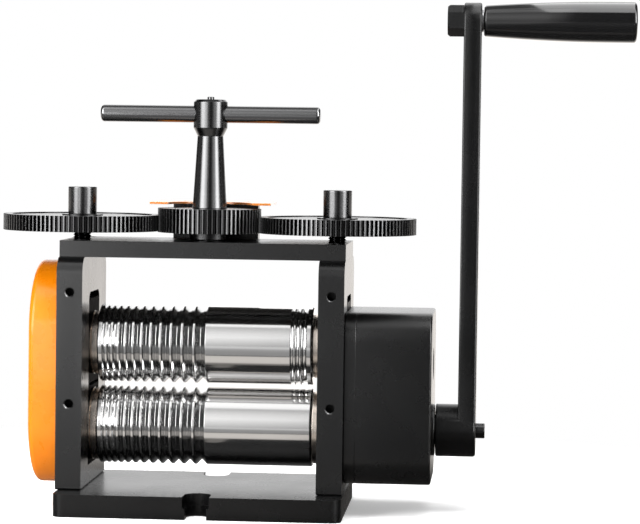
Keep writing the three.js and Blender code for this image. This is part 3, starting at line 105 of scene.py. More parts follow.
class MillGears(PropertyGroup):
    """Teeth of the gears, as in the CAD model."""

    side_teeth: count_property("Side gear teeth", "Teeth of each side gear", 103)
    centre_teeth: count_property("Centre gear teeth", "Teeth of the centre gear", 67)
    coupling_teeth: count_property("Coupling teeth", "Teeth of each coupling gear", 16)
    crank_teeth: count_property("Crank pinion teeth", "Teeth on the crank shaft", 16)
    layshaft_teeth: count_property("Layshaft gear teeth", "Teeth of its gear", 28)
    pinion_teeth: count_property("Layshaft pinion teeth", "Teeth of its pinion", 18)
    output_teeth: count_property("Output gear teeth", "Teeth on the lower roll", 26)


class MillFinish(PropertyGroup):
    """Colours of the finishes and the fineness of their marks."""

    enamel: colour_property("Black enamel", "Frame, gearbox and crank", (0.003, 0.003, 0.0031))
    orange: colour_property("Orange enamel", "Cover and guard", (0.58, 0.155, 0.001))
    oxide: colour_property("Blackened steel", "T-handle, posts and screws", (0.085, 0.085, 0.086))
    gear: colour_property("Gear steel", "All gears", (0.034, 0.034, 0.0345))
    ground: colour_property("Ground steel", "Rolls", (0.74, 0.735, 0.73))
    machined: colour_property("Machined steel", "Blocks, shafts and chamfers", (0.5, 0.5, 0.51))
    bronze: colour_property("Bronze", "Bushings", (0.74, 0.66, 0.59))
    plastic: colour_property("Black plastic", "Grip", (0.004, 0.004, 0.0042))
    enamel_roughness: level_property("Enamel roughness", "Gloss of the black", 0.27)
    ground_roughness: level_property("Roll roughness", "Gloss of the rolls", 0.12)


class MillStage(PropertyGroup):
    """Floor, lamps and studio."""

    floor: colour_property("Floor", "Colour of the floor", (0.9, 0.9, 0.9))
    key_power: level_property("Key power", "Lamp over the mill, in watts", 26)
    fill_power: level_property("Fill power", "Lamp at the front left, in watts", 9)
    panel_power: level_property("Panel power", "Each mirrored panel, in watts", 1.9)
    studio: level_property("Studio", "Brightness of the studio's walls", 1)


GROUPS = {
    "mill_rolls": MillRolls,
    "mill_gears": MillGears,
    "mill_finish": MillFinish,
    "mill_stage": MillStage,
}


def settings(name):
    """Values of a property group of the scene."""
    return getattr(bpy.context.scene, name)


# Shapes. A shape is a bmesh in millimetres whose axis is its local Z.

# Turns a shape's local Z to the named axis, keeping its handedness
AXES = {
    "x": Matrix(((0, 0, 1, 0), (1, 0, 0, 0), (0, 1, 0, 0), (0, 0, 0, 1))),
    "y": Matrix(((0, 1, 0, 0), (0, 0, 1, 0), (1, 0, 0, 0), (0, 0, 0, 1))),
    "z": Matrix.Identity(4),
}


def span(node):
    """Lowest and highest corner of a CAD node, in millimetres."""
    low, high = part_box(node)
    return low / MM, high / MM


def middle(node):
    low, high = span(node)
    return (low + high) / 2


def filleted(points, closed=False, steps=5):
    """Polyline whose corners are rounded: each point is (u, v) or (u, v, radius)."""
    result = []
    count = len(points)
    for i, point in enumerate(points):
        at = Vector(point[:2])
        radius = point[2] if len(point) > 2 else 0
        if radius <= 0 or (not closed and i in (0, count - 1)):
            result.append(tuple(at))
            continue
        before = (Vector(points[i - 1][:2]) - at).normalized()
        after = (Vector(points[(i + 1) % count][:2]) - at).normalized()
        half = before.angle(after) / 2
        centre = at + (before + after).normalized() * (radius / math.sin(half))
        start = at + before * (radius / math.tan(half)) - centre
        end = at + after * (radius / math.tan(half)) - centre
        first = math.atan2(start.y, start.x)
        turn = (math.atan2(end.y, end.x) - first + math.pi) % (2 * math.pi) - math.pi
        for k in range(steps + 1):
            angle = first + turn * k / steps
            result.append((centre.x + radius * math.cos(angle), centre.y + radius * math.sin(angle)))
    return result


def circle(radius, segments=48, at=(0, 0), start=0.0, sweep=2 * math.pi):
    """Points of a circle, or of an arc that holds both of its ends."""
    whole = abs(sweep - 2 * math.pi) < 1e-6
    count = segments if whole else segments + 1
    angles = [start + sweep * i / segments for i in range(count)]
    return [(at[0] + radius * math.cos(a), at[1] + radius * math.sin(a)) for a in angles]


def skin(bm, lower, upper):
    """Faces between two rings of vertices, either of which may be a single vertex."""
    count = max(len(lower), len(upper))
    if count == 1:
        return
    for i in range(count):
        j = (i + 1) % count
        below = lower[i % len(lower)], lower[j % len(lower)]
        above = upper[j % len(upper)], upper[i % len(upper)]
        face = list(dict.fromkeys(below + above))
        if len(face) > 2:
            bm.faces.new(face)


def braced(points, closed, inset=0.3):
    """Profile with a point near both ends of each long straight, so its shading stays even."""
    result = []
    for start, end in zip(points, points[1:] + (points[:1] if closed else [])):
        result.append(start)
        part = inset / max(math.dist(start, end), inset)
        if part < 0.15:
            for at in (part, 1 - part):
                result.append(tuple(a + (b - a) * at for a, b in zip(start, end)))
    return result if closed else [*result, points[-1]]


def turned(profile, segments=96, closed=False, steps=5):
    """Profile of (radius, height[, fillet]) turned about Z; closed joins its end to its start."""
    bm = bmesh.new()
    rings = []
    for radius, height in braced(filleted(profile, closed, steps), closed):
        if radius < 1e-5:
            rings.append([bm.verts.new((0, 0, height))])
        else:
            rings.append([bm.verts.new((x, y, height)) for x, y in circle(radius, segments)])
    for lower, upper in zip(rings, rings[1:] + (rings[:1] if closed else [])):
        skin(bm, lower, upper)
    return bm


def stacked(loops):
    """Solid through loops of the same number of points: each is (height, points)."""
    bm = bmesh.new()
    rings = [[bm.verts.new((x, y, height)) for x, y in points] for height, points in loops]
    for lower, upper in zip(rings, rings[1:]):
        skin(bm, lower, upper)
    bm.faces.new(rings[0])
    bm.faces.new(rings[-1])
    return bm


def prism(outline, low, high):
    return stacked([(low, outline), (high, outline)])


def rectangle(low, high, corner=0, steps=10):
    """Outline between two opposite corners, all four rounded to a radius."""
    ends = (low[0], low[1]), (high[0], low[1]), (high[0], high[1]), (low[0], high[1])
    return filleted([(*end, corner) for end in ends], True, steps)


def creased(bm):
    """Smooth shading with sharp edges kept, and faces pointing outwards."""
    bmesh.ops.remove_doubles(bm, verts=bm.verts, dist=1e-7)
    bmesh.ops.recalc_face_normals(bm, faces=bm.faces)
    for face in bm.faces:
        face.smooth = True
    for edge in bm.edges:
        edge.smooth = edge.calc_face_angle(0) < CREASE
    return bm


def as_mesh(name, bm, axis="z", at=(0, 0, 0), material=None):
    """Mesh in metres of a shape, turned to its axis and moved to its place in millimetres."""
    place = Matrix.Scale(MM, 4) @ Matrix.Translation(Vector(at)) @ AXES[axis]
    bmesh.ops.transform(bm, matrix=place, verts=bm.verts)
    creased(bm)
    mesh = bpy.data.meshes.new(name)
    bm.to_mesh(mesh)
    bm.free()
    if material:
        mesh.materials.append(material)
    return mesh


def cylinder(radius, low, high, axis="z", at=(0, 0, 0), material=None, segments=48):
    """Mesh of a cylinder between two heights along its axis, to cut a bore or to join a boss."""
    return as_mesh("cylinder", prism(circle(radius, segments), low, high), axis, at, material)


def linked(name, mesh):
    obj = bpy.data.objects.new(name, mesh)
    bpy.context.scene.collection.objects.link(obj)
    return obj


def evaluated_mesh(obj):
    """Plain mesh of an object with its modifiers; the object is removed."""
    bpy.context.view_layer.update()
    graph = bpy.context.evaluated_depsgraph_get()
    mesh = bpy.data.meshes.new_from_object(
        obj.evaluated_get(graph), preserve_all_data_layers=True, depsgraph=graph
    )
    bpy.data.objects.remove(obj)
    return mesh


def combined(mesh, tools, operation="DIFFERENCE"):
    """Mesh with other meshes cut from it, or joined to it; a tool's material stays on its faces."""
    target = linked("combined", mesh)
    helpers = []
    for tool in tools:
        helper = linked("tool", tool)
        cut = target.modifiers.new("Cut", "BOOLEAN")
        cut.operation = operation
        cut.solver = "EXACT"
        cut.material_mode = "TRANSFER"
        cut.object = helper
        helpers.append(helper)
    result = evaluated_mesh(target)
    for helper in helpers:
        bpy.data.objects.remove(helper)
    bm = bmesh.new()
    bm.from_mesh(result)
    creased(bm).to_mesh(result)
    bm.free()
    return result


def softened(mesh, width, segments=3):
    """Mesh with its sharp edges rounded to a width in millimetres."""
    obj = linked("softened", mesh)
    bevel = obj.modifiers.new("Rounded edges", "BEVEL")
    bevel.width = width * MM
    bevel.segments = segments
    bevel.limit_method = "ANGLE"
    bevel.angle_limit = math.radians(38)
    bevel.harden_normals = True
    bevel.miter_outer = "MITER_ARC"
    return evaluated_mesh(obj)


def piece(name, mesh, body, material=None, replaced=()):
    """A finished piece that rides on a body and stands for CAD nodes."""
    if material:
        mesh.materials.clear()
        mesh.materials.append(material)
    obj = linked(name, mesh)
    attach(obj, body)
    if replaced:
        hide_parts(*replaced)
    return obj


def dressed(node, mesh, body, material=None):
    """A finished piece that stands for one CAD node."""
    return piece(f"{node}_dressed", mesh, body, material, [node])


def refinish(nodes, material):
    """Gives CAD nodes that stay visible a finished material."""
    for node in nodes:
        for slot in NODES[node].material_slots:
            slot.material = material


# Node trees


class Wiring:
    """Writes a node tree with few words: values and sockets are given alike."""

    def __init__(self, tree):
        self.tree = tree

    def connect(self, socket, value):
        if isinstance(value, bpy.types.NodeSocket):
            self.tree.links.new(value, socket)
        elif value is not None:
            socket.default_value = value

    def node(self, kind, inputs=None, **options):
        made = self.tree.nodes.new(kind)
        for key, value in options.items():
            setattr(made, key, value)
        for key, value in (inputs or {}).items():
            self.connect(made.inputs[key], value)
        return made

    def maths(self, operation, first, second=None, third=None):
        made = self.node("ShaderNodeMath", operation=operation)
        for socket, value in zip(made.inputs, (first, second, third)):
            self.connect(socket, value)
        return made.outputs[0]

    def vector(self, operation, first, second=None):
        made = self.node("ShaderNodeVectorMath", operation=operation)
        for socket, value in zip(made.inputs, (first, second)):
            self.connect(socket, value)
        return made.outputs["Value" if operation in ("LENGTH", "DOT_PRODUCT") else "Vector"]

    def axes(self, vector):
        return self.node("ShaderNodeSeparateXYZ", {0: vector}).outputs

    def noise(self, vector, scale, detail, roughness=0.5):
        inputs = {"Vector": vector, "Scale": scale, "Detail": detail, "Roughness": roughness}
        return self.node("ShaderNodeTexNoise", inputs).outputs[0]

    def bump(self, strength, distance, height):
        inputs = {"Strength": strength, "Distance": distance, "Height": height}
        return self.node("ShaderNodeBump", inputs).outputs[0]

    def joined(self, *parts):
        made = self.node("GeometryNodeJoinGeometry")
        for part in parts:
            self.connect(made.inputs[0], part)
        return made.outputs[0]

    def coloured(self, geometry, material, selection=None):
        inputs = {"Geometry": geometry, "Material": material, "Selection": selection}
        return self.node("GeometryNodeSetMaterial", inputs).outputs[0]

    def emission(self, colour, strength):
        return self.node("ShaderNodeEmission", {"Color": colour, "Strength": strength}).outputs[0]

    def shader_mix(self, share, first, second):
        return self.node("ShaderNodeMixShader", {0: share, 1: first, 2: second}).outputs[0]

    def smooth_range(self, value, low, high, to_low=0.0, to_high=1.0):
        inputs = {"Value": value, "From Min": low, "From Max": high, "To Min": to_low, "To Max": to_high}
        return self.node("ShaderNodeMapRange", inputs, interpolation_type="SMOOTHSTEP").outputs[0]

    def mixed(self, share, first, second):
        """Mix of two colours."""
        made = self.node("ShaderNodeMix", data_type="RGBA")
        self.connect(made.inputs[0], share)
        self.connect(made.inputs[6], first)
        self.connect(made.inputs[7], second)
        return made.outputs[2]


FLOAT, VECTOR, MATERIAL = "NodeSocketFloat", "NodeSocketVector", "NodeSocketMaterial"
WHOLE, OBJECT, GEOMETRY = "NodeSocketInt", "NodeSocketObject", "NodeSocketGeometry"


def node_group(name, kind, inputs, outputs):
    """Makes a function that wires a node group into one that gives the group, made once.

    An input is (name, kind of socket, default), and an output is (name, kind of socket).
    """

    def wrap(wire):
        def group():
            if name in bpy.data.node_groups:
                return bpy.data.node_groups[name]
            tree = bpy.data.node_groups.new(name, kind)
            for title, socket_kind, default in inputs:
                socket = tree.interface.new_socket(title, in_out="INPUT", socket_type=socket_kind)
                if default is not None:
                    socket.default_value = default
            for title, socket_kind in outputs:
                tree.interface.new_socket(title, in_out="OUTPUT", socket_type=socket_kind)
            given = tree.nodes.new("NodeGroupInput").outputs
            wire(Wiring(tree), given, tree.nodes.new("NodeGroupOutput").inputs)
            return tree

        return group

    return wrap


@node_group(
    "Tool marks",
    "ShaderNodeTree",
    [
        ("Vector", VECTOR, None),
        ("Stretch", VECTOR, (1, 0.01, 0.01)),
        ("Lines per metre", FLOAT, 3000),
        ("Roughness", FLOAT, 0.2),
        ("Spread", FLOAT, 0.06),
        ("Depth", FLOAT, 0.1),
        ("Tone spread", FLOAT, 0.06),
    ],
    [("Roughness", FLOAT), ("Normal", VECTOR), ("Tone", FLOAT)],
)
def tool_marks_group(wiring, given, made):
    """Fine lines that a lathe, grinder or brush leaves, and the smears over them."""
    drawn = wiring.vector("MULTIPLY", given["Vector"], given["Stretch"])
    lines = wiring.noise(drawn, given["Lines per metre"], 3.0, 0.6)
    smears = wiring.noise(given["Vector"], 42.0, 4.0, 0.55)
    both = wiring.maths("ADD", wiring.maths("SUBTRACT", lines, 0.5), wiring.maths("SUBTRACT", smears, 0.5))
    rough = wiring.maths("MULTIPLY_ADD", both, given["Spread"], given["Roughness"])
    wiring.connect(made["Roughness"], wiring.maths("MAXIMUM", rough, 0.03))
    wiring.connect(made["Normal"], wiring.bump(given["Depth"], 0.00005, lines))
    wiring.connect(made["Tone"], wiring.maths("MULTIPLY_ADD", both, given["Tone spread"], 1.0))


@node_group(
    "Enamel skin",
    "ShaderNodeTree",
    [
        ("Vector", VECTOR, None),
        ("Roughness", FLOAT, 0.38),
        ("Spread", FLOAT, 0.1),
        ("Peel per metre", FLOAT, 900),
        ("Peel depth", FLOAT, 0.1),
        ("Edge width", FLOAT, 0.0004),
    ],
    [("Roughness", FLOAT), ("Normal", VECTOR), ("Wear", FLOAT), ("Cloud", FLOAT)],
)
def enamel_skin_group(wiring, given, made):
    """Skin of sprayed enamel: a faint orange peel, cloudy gloss and a painted highlight, a paler colour,
    along its rounded edges.
    """
    peel = wiring.noise(given["Vector"], given["Peel per metre"], 2.0)
    cloud = wiring.noise(given["Vector"], 26.0, 5.0, 0.6)
    centred = wiring.maths("SUBTRACT", cloud, 0.5)
    rough = wiring.maths("MULTIPLY_ADD", centred, given["Spread"], given["Roughness"])
    wiring.connect(made["Roughness"], rough)
    wiring.connect(made["Cloud"], cloud)
    wiring.connect(made["Normal"], wiring.bump(given["Peel depth"], 0.0001, peel))
    # Painted highlight: at the edges, where the rounded normal leaves the true one, the colour turns paler,
    # in patches after the clouds
    rounded = wiring.node("ShaderNodeBevel", {"Radius": given["Edge width"]}, samples=4).outputs[0]
    flat = wiring.node("ShaderNodeNewGeometry").outputs["True Normal"]
    bend = wiring.vector("DOT_PRODUCT", rounded, flat)
    edge = wiring.smooth_range(wiring.maths("SUBTRACT", 1.0, bend), 0.02, 0.2)
    patches = wiring.smooth_range(cloud, 0.35, 0.65, 0.35, 1.0)
    wiring.connect(made["Wear"], wiring.maths("MULTIPLY", edge, patches))


def grouped(wiring, shader, group, inputs):
    """Outputs of a group; those called Roughness and Normal also go to the shader."""
    made = wiring.node("ShaderNodeGroup", inputs, node_tree=group)
    for name in ("Roughness", "Normal"):
        wiring.connect(shader.inputs[name], made.outputs[name])
    return made.outputs


def new_material(name, **constants):
    """Material with a Principled BSDF whose own sockets hold the constants."""
    material = bpy.data.materials.new(name)
    material.use_nodes = True
    wiring = Wiring(material.node_tree)
    shader = material.node_tree.nodes["Principled BSDF"]
    for key, value in constants.items():
        shader.inputs[key.replace("_", " ")].default_value = value
    place = wiring.node("ShaderNodeTexCoord").outputs["Object"]
    return material, wiring, shader, place


def rgba(colour, factor=1.0):
    return (*[min(1.0, c * factor) for c in colour], 1.0)


# What each steel finish is called, with its colour and the marks on it
STEELS = {
    "blackened": dict(colour="oxide", roughness=0.2, spread=0.1, lines=2600, depth=0.12, tone=0.3),
    "bar": dict(colour="oxide", lift=2.3, roughness=0.2, spread=0.04, lines=2600, depth=0.02, tone=0.1),
    "gear": dict(
        colour="gear", roughness=0.28, spread=0.06, lines=2400, depth=0.02, tone=0.2, rim=0.0,
        # Painted sheen: faces that face along the axis get a paler tone and keep their full gloss at grazing
        # angles
        painted_facing_tone=(0.9, 0.98, 0.12),
    ),
    # Tooth tips: the gear steel four times brighter, a painted highlight
    "land": dict(colour="gear", lift=4.0, roughness=0.33, spread=0.04, lines=2400, depth=0.005, tone=0.1),
    "ground": dict(
        colour="ground", roughness=None, spread=0.07, lines=5200, depth=0.06, tone=0.08, turned=0.35,
        # Painted shade: groove flanks and chamfers, which turn towards the axis, get a darker tone
        painted_facing_tone=(0.15, 0.6, 0.56),
    ),
    "machined": dict(colour="machined", roughness=0.28, spread=0.12, lines=2200, depth=0.16, tone=0.2),
    "bronze": dict(colour="bronze", roughness=0.27, spread=0.06, lines=2600, depth=0.06, tone=0.1),
}
# How the marks lie: along a piece's axis they change fast, round it they hardly change
STRETCH = {"x": (1, 0.012, 0.012), "y": (0.012, 1, 0.012), "z": (0.012, 0.012, 1)}


def steel(finish, axis):
    """Bare or blackened steel, or bronze, with its marks across an axis."""
    name = f"{finish}_{axis}"
    if name in bpy.data.materials:
        return bpy.data.materials[name]
    kind = STEELS[finish]
    colours = settings("mill_finish")
    colour = [c * kind.get("lift", 1.0) for c in getattr(colours, kind["colour"])]
    roughness = kind["roughness"] or colours.ground_roughness
    turned_gloss = kind.get("turned", 0.0)
    material, wiring, shader, place = new_material(
        name, Metallic=1.0, Anisotropic=turned_gloss, Anisotropic_Rotation=0.25
    )
    rim = rgba((kind.get("rim", 1.0),) * 3)
    if "painted_facing_tone" in kind:  # painted light: another tone where the surface turns towards the axis
        low, high, level = kind["painted_facing_tone"]
        facing = wiring.axes(place.node.outputs["Normal"])["xyz".index(axis)]
        facing = wiring.smooth_range(wiring.maths("ABSOLUTE", facing), low, high)
        rim = wiring.mixed(facing, rim, WHITE)
        colour = wiring.mixed(facing, rgba(colour), rgba((level,) * 3))
    wiring.connect(shader.inputs["Specular Tint"], rim)
    if turned_gloss:
        round_axis = wiring.node("ShaderNodeTangent", direction_type="RADIAL", axis=axis.upper())
        wiring.connect(shader.inputs["Tangent"], round_axis.outputs[0])
    marks = grouped(
        wiring,
        shader,
        tool_marks_group(),
        {
            "Vector": place,
            "Stretch": STRETCH[axis],
            "Lines per metre": float(kind["lines"]),
            "Roughness": roughness,
            "Spread": kind["spread"],
            "Depth": kind["depth"],
            "Tone spread": kind["tone"],
        },
    )
    tinted = wiring.node("ShaderNodeVectorMath", {0: colour, "Scale": marks["Tone"]}, operation="SCALE")
    wiring.connect(shader.inputs["Base Color"], tinted.outputs[0])
    return material


# Each enamel's gloss, peel and the colour and strength of the painted highlight on its edges
ENAMELS = {
    "enamel": dict(spread=0.1, peel=900.0, depth=0.08, specular=0.5, coat=0.0, coat_rough=0.14, edge_highlight=0.2),
    "orange": dict(spread=0.08, peel=420.0, depth=0.14, specular=0.3, coat=0.15, coat_rough=0.1, edge_highlight=0.2),
    "plastic": dict(spread=0.05, peel=260.0, depth=0.04, specular=0.25, coat=1.0, coat_rough=0.06, edge_highlight=0.05),
}
# The guard's sheet has a full, wider painted highlight along its edges, in a pale beige
ENAMELS["sheet"] = dict(
    ENAMELS["orange"], colour="orange", coat=0.6, edge_highlight=1.0, bare=(0.75, 0.66, 0.52), edge=0.0011
)
# Copies of the black enamel with less gloss, as painted shade: the base and the crank stand darker than the
# frame
ENAMELS["base"] = dict(ENAMELS["enamel"], colour="enamel", specular=0.24)
ENAMELS["crank"] = dict(ENAMELS["enamel"], colour="enamel", specular=0.3)
ROUGHNESS = {"orange": 0.28, "sheet": 0.28, "plastic": 0.12}


def enamel(finish):
    """Sprayed enamel or moulded plastic."""
    name = f"{finish}_skin"
    if name in bpy.data.materials:
        return bpy.data.materials[name]
    kind = ENAMELS[finish]
    colours = settings("mill_finish")
    colour = getattr(colours, kind.get("colour", finish))
    gloss = dict(Specular_IOR_Level=kind["specular"])
    gloss.update(Coat_Weight=kind["coat"], Coat_Roughness=kind["coat_rough"])
    material, wiring, shader, place = new_material(name, **gloss)
    coat = grouped(
        wiring,
        shader,
        enamel_skin_group(),
        {
            "Vector": place,
            "Roughness": ROUGHNESS.get(finish, colours.enamel_roughness),
            "Spread": kind["spread"],
            "Peel per metre": kind["peel"],
            "Peel depth": kind["depth"],
            "Edge width": kind.get("edge", 0.0004),
        },
    )
    # Painted highlight: a paler colour mixed in along the edges
    highlight_colour = rgba(kind.get("bare", [c * 1.3 + 0.04 for c in colour]))
    clouds = wiring.smooth_range(coat["Cloud"], 0.3, 0.7)
    clouded = wiring.mixed(clouds, rgba(colour, 0.9), rgba(colour, 1.1))
    edge_highlight = wiring.maths("MULTIPLY", coat["Wear"], kind["edge_highlight"])
    wiring.connect(shader.inputs["Base Color"], wiring.mixed(edge_highlight, clouded, highlight_colour))
    return material


# Geometry Nodes: gears, screws and threads


@node_group(
    "Spur gear",
    "GeometryNodeTree",
    [
        ("Teeth", WHOLE, 20),
        ("Pitch radius", FLOAT, 0.02),
        ("Tip radius", FLOAT, 0.021),
        ("Root radius", FLOAT, 0.019),
        ("Backlash", FLOAT, 0.0003),
        ("First tooth", FLOAT, 0.0),
        ("Bore radius", FLOAT, 0.005),
        ("Low", FLOAT, 0.0),
        ("High", FLOAT, 0.01),
        ("Material", MATERIAL, None),
        ("Land material", MATERIAL, None),
    ],
    [("Geometry", GEOMETRY)],
)
def gear_tree(wiring, given, made):
    """Spur gear with involute flanks, drawn in XY between two heights; its tooth tips take another material,
    a painted highlight.
    """
    maths = wiring.maths
    points = 10  # of each tooth, half of them on a flank
    half = points // 2
    index = wiring.node("GeometryNodeInputIndex").outputs[0]
    tooth = maths("FLOOR", maths("DIVIDE", index, points))
    step = maths("MODULO", index, points)
    rising = maths("MINIMUM", step, maths("SUBTRACT", points - 1, step))
    share = maths("DIVIDE", rising, half - 1)
    reach = maths("SUBTRACT", given["Tip radius"], given["Root radius"])
    radius = maths("MULTIPLY_ADD", share, reach, given["Root radius"])
    pressure = math.radians(20)
    base = maths("MULTIPLY", given["Pitch radius"], math.cos(pressure))
    slope = maths("ARCCOSINE", maths("MINIMUM", maths("DIVIDE", base, radius), 1.0))
    involute = maths("SUBTRACT", maths("TANGENT", slope), slope)
    width = maths("DIVIDE", math.pi / 2, given["Teeth"])
    play = maths("DIVIDE", maths("DIVIDE", given["Backlash"], 4.0), given["Pitch radius"])
    at_pitch = maths("ADD", maths("SUBTRACT", width, play), math.tan(pressure) - pressure)
    half_tooth = maths("SUBTRACT", at_pitch, involute)
    side = maths("SUBTRACT", maths("MULTIPLY", maths("GREATER_THAN", step, half - 0.5), 2.0), 1.0)
    centre = maths("MULTIPLY_ADD", tooth, maths("DIVIDE", 2 * math.pi, given["Teeth"]), given["First tooth"])
    angle = maths("MULTIPLY_ADD", side, half_tooth, centre)
    along, across = (maths("MULTIPLY", radius, maths(part, angle)) for part in ("COSINE", "SINE"))
    position = wiring.node("ShaderNodeCombineXYZ", {"X": along, "Y": across}).outputs[0]
    count = maths("MULTIPLY", given["Teeth"], points)
    ring = wiring.node("GeometryNodeMeshCircle", {"Vertices": count}).outputs[0]
    toothed = wiring.node("GeometryNodeSetPosition", {"Geometry": ring, "Position": position}).outputs[0]
    rim = wiring.node("GeometryNodeMeshToCurve", {"Mesh": toothed}).outputs[0]
    hole = {"Resolution": 64, "Radius": given["Bore radius"]}
    bore = wiring.node("GeometryNodeCurvePrimitiveCircle", hole).outputs[0]
    face = wiring.node("GeometryNodeFillCurve", {"Curve": wiring.joined(rim, bore)}).outputs[0]
    thickness = maths("SUBTRACT", given["High"], given["Low"])
    solid = wiring.node(
        "GeometryNodeExtrudeMesh",
        {"Mesh": face, "Offset": (0, 0, 1), "Offset Scale": thickness, "Individual": False},
    ).outputs[0]
    under = wiring.node("GeometryNodeFlipFaces", {"Mesh": face}).outputs[0]
    both = {"Geometry": wiring.joined(solid, under), "Distance": 1e-6}
    whole = wiring.node("GeometryNodeMergeByDistance", both).outputs[0]
    lift = wiring.node("ShaderNodeCombineXYZ", {"Z": given["Low"]}).outputs[0]
    lifted = wiring.node("GeometryNodeTransform", {"Geometry": whole, "Translation": lift}).outputs[0]
    finished = wiring.node("GeometryNodeRealizeInstances", {"Geometry": lifted}).outputs[0]
    coloured = wiring.coloured(finished, given["Material"])
    # Painted highlight: the outermost band of the teeth takes the tip material
    sideways = wiring.vector("MULTIPLY", wiring.node("GeometryNodeInputPosition").outputs[0], (1, 1, 0))
    limit = maths("MULTIPLY_ADD", reach, -0.06, given["Tip radius"])
    land = maths("GREATER_THAN", wiring.vector("LENGTH", sideways), limit)
    wiring.connect(made["Geometry"], wiring.coloured(coloured, given["Land material"], land))


@node_group(
    "Set of screws",
    "GeometryNodeTree",
    [
        ("Geometry", GEOMETRY, None),
        ("Screw", OBJECT, None),
        ("Turn", VECTOR, (0, 0, 0)),
        ("Seed", WHOLE, 3),
        ("Material", MATERIAL, None),
    ],
    [("Geometry", GEOMETRY)],
)
def screws_tree(wiring, given, made):
    """One copy of a screw on every point of the mesh, turned to its axis."""
    model = wiring.node("GeometryNodeObjectInfo", {"Object": given["Screw"]}).outputs["Geometry"]
    draw = {"Min": (0, 0, 0), "Max": (0, 0, 1), "Seed": given["Seed"]}
    spin = wiring.node("FunctionNodeRandomValue", draw, data_type="FLOAT_VECTOR").outputs[0]
    points = wiring.node("GeometryNodeMeshToPoints", {"Mesh": given["Geometry"]}).outputs[0]
    inputs = {"Points": points, "Instance": model, "Rotation": given["Turn"]}
    copies = wiring.node("GeometryNodeInstanceOnPoints", inputs).outputs[0]
    spun = wiring.node("GeometryNodeRotateInstances", {"Instances": copies, "Rotation": spin}).outputs[0]
    whole = wiring.node("GeometryNodeRealizeInstances", {"Geometry": spun}).outputs[0]
    wiring.connect(made["Geometry"], wiring.coloured(whole, given["Material"]))


def from_tree(tree, values, mesh=None):
    """Mesh that a Geometry Nodes tree makes with these values for its named inputs."""
    obj = linked("made", mesh or bpy.data.meshes.new("made"))
    modifier = obj.modifiers.new("Made", "NODES")
    modifier.node_group = tree
    for item in tree.interface.items_tree:
        if item.in_out == "INPUT" and item.name in values:
            modifier[item.identifier] = values[item.name]
    return evaluated_mesh(obj)


def gear_mesh(teeth, pitch, tip, root, backlash, first, bore, low, high, material, land=None):
    """Gear in local coordinates, its sizes in millimetres; land is the material of its tooth tips, a painted
    highlight.
    """
    return from_tree(
        gear_tree(),
        {
            "Teeth": teeth,
            "Pitch radius": pitch * MM,
            "Tip radius": tip * MM,
            "Root radius": root * MM,
            "Backlash": backlash * MM,
            "First tooth": first,
            "Bore radius": bore * MM,
            "Low": low * MM,
            "High": high * MM,
            "Material": material,
            "Land material": land or material,
        },
    )


def placed(mesh, axis, at):
    """A local mesh in metres turned to its axis and moved to a place in millimetres."""
    mesh.transform(Matrix.Translation(Vector(at) * MM) @ AXES[axis])
    mesh.update()
    return mesh


# Socket head screws by their thread: diameter and height of the head, width of the socket
CAP_SCREWS = {4: (7, 4, 3), 5: (8.5, 5, 4), 6: (10, 6, 5), 8: (13, 8, 6)}


def cap_screw(thread, length, height=None, socket=None):
    """Socket head screw: its head's underside at 0 and its shank below."""
    head, usual_height, usual_socket = CAP_SCREWS[thread]
    height, socket = height or usual_height, socket or usual_socket
    shank = thread / 2
    profile = [(0, -length), (shank - 0.5, -length), (shank, -length + 0.5), (shank, 0)]
    profile += [(head / 2, 0, 0.2), (head / 2, height, 0.5), (0, height)]
    body = turned(profile, segments=40)
    hollow = prism(circle(socket / math.sqrt(3), 6), height * 0.42, height + 1)
    return combined(as_mesh("screw", body), [as_mesh("socket", hollow)])


def screw_set(name, model, places, pointing, body, replaced=()):
    """Copies of a screw at places in millimetres, as one piece of a body."""
    host = bpy.data.meshes.new("places")
    host.from_pydata([Vector(p) * MM for p in places], [], [])
    template = linked("template", model)
    material = steel("blackened", "x" if "x" in pointing else "z")
    values = {"Screw": template, "Turn": POINTING[pointing], "Material": material}
    mesh = from_tree(screws_tree(), values, host)
    bpy.data.objects.remove(template)
    return piece(name, mesh, body, None, replaced)


# Rotations that point a screw's shank the named way
POINTING = {
    "-z": (0, 0, 0),
    "+z": (math.pi, 0, 0),
    "-x": (0, math.pi / 2, 0),
    "+x": (0, -math.pi / 2, 0),
    "-y": (-math.pi / 2, 0, 0),
}


def threaded_rod(radius, pitch, depth, low, high, segments=48):
    """Rod with a helical thread, as a bmesh: the thread fades out at both ends."""
    bm = bmesh.new()
    rows = max(2, round((high - low) / pitch * 8))
    rings = [[bm.verts.new((0, 0, low))]]
    for row in range(rows + 1):
        height = low + (high - low) * row / rows
        fade = min(1.0, (height - low) / pitch, (high - height) / pitch)
        ring = []
        for i in range(segments):
            angle = 2 * math.pi * i / segments
            phase = (height / pitch - i / segments) % 1.0
            dent = depth * (1 - abs(2 * phase - 1)) * fade
            r = radius - dent
            ring.append(bm.verts.new((r * math.cos(angle), r * math.sin(angle), height)))
        rings.append(ring)
    rings.append([bm.verts.new((0, 0, high))])
    for lower, upper in zip(rings, rings[1:]):
        skin(bm, lower, upper)
    return bm


# Names and sizes that the pieces are built from, in millimetres

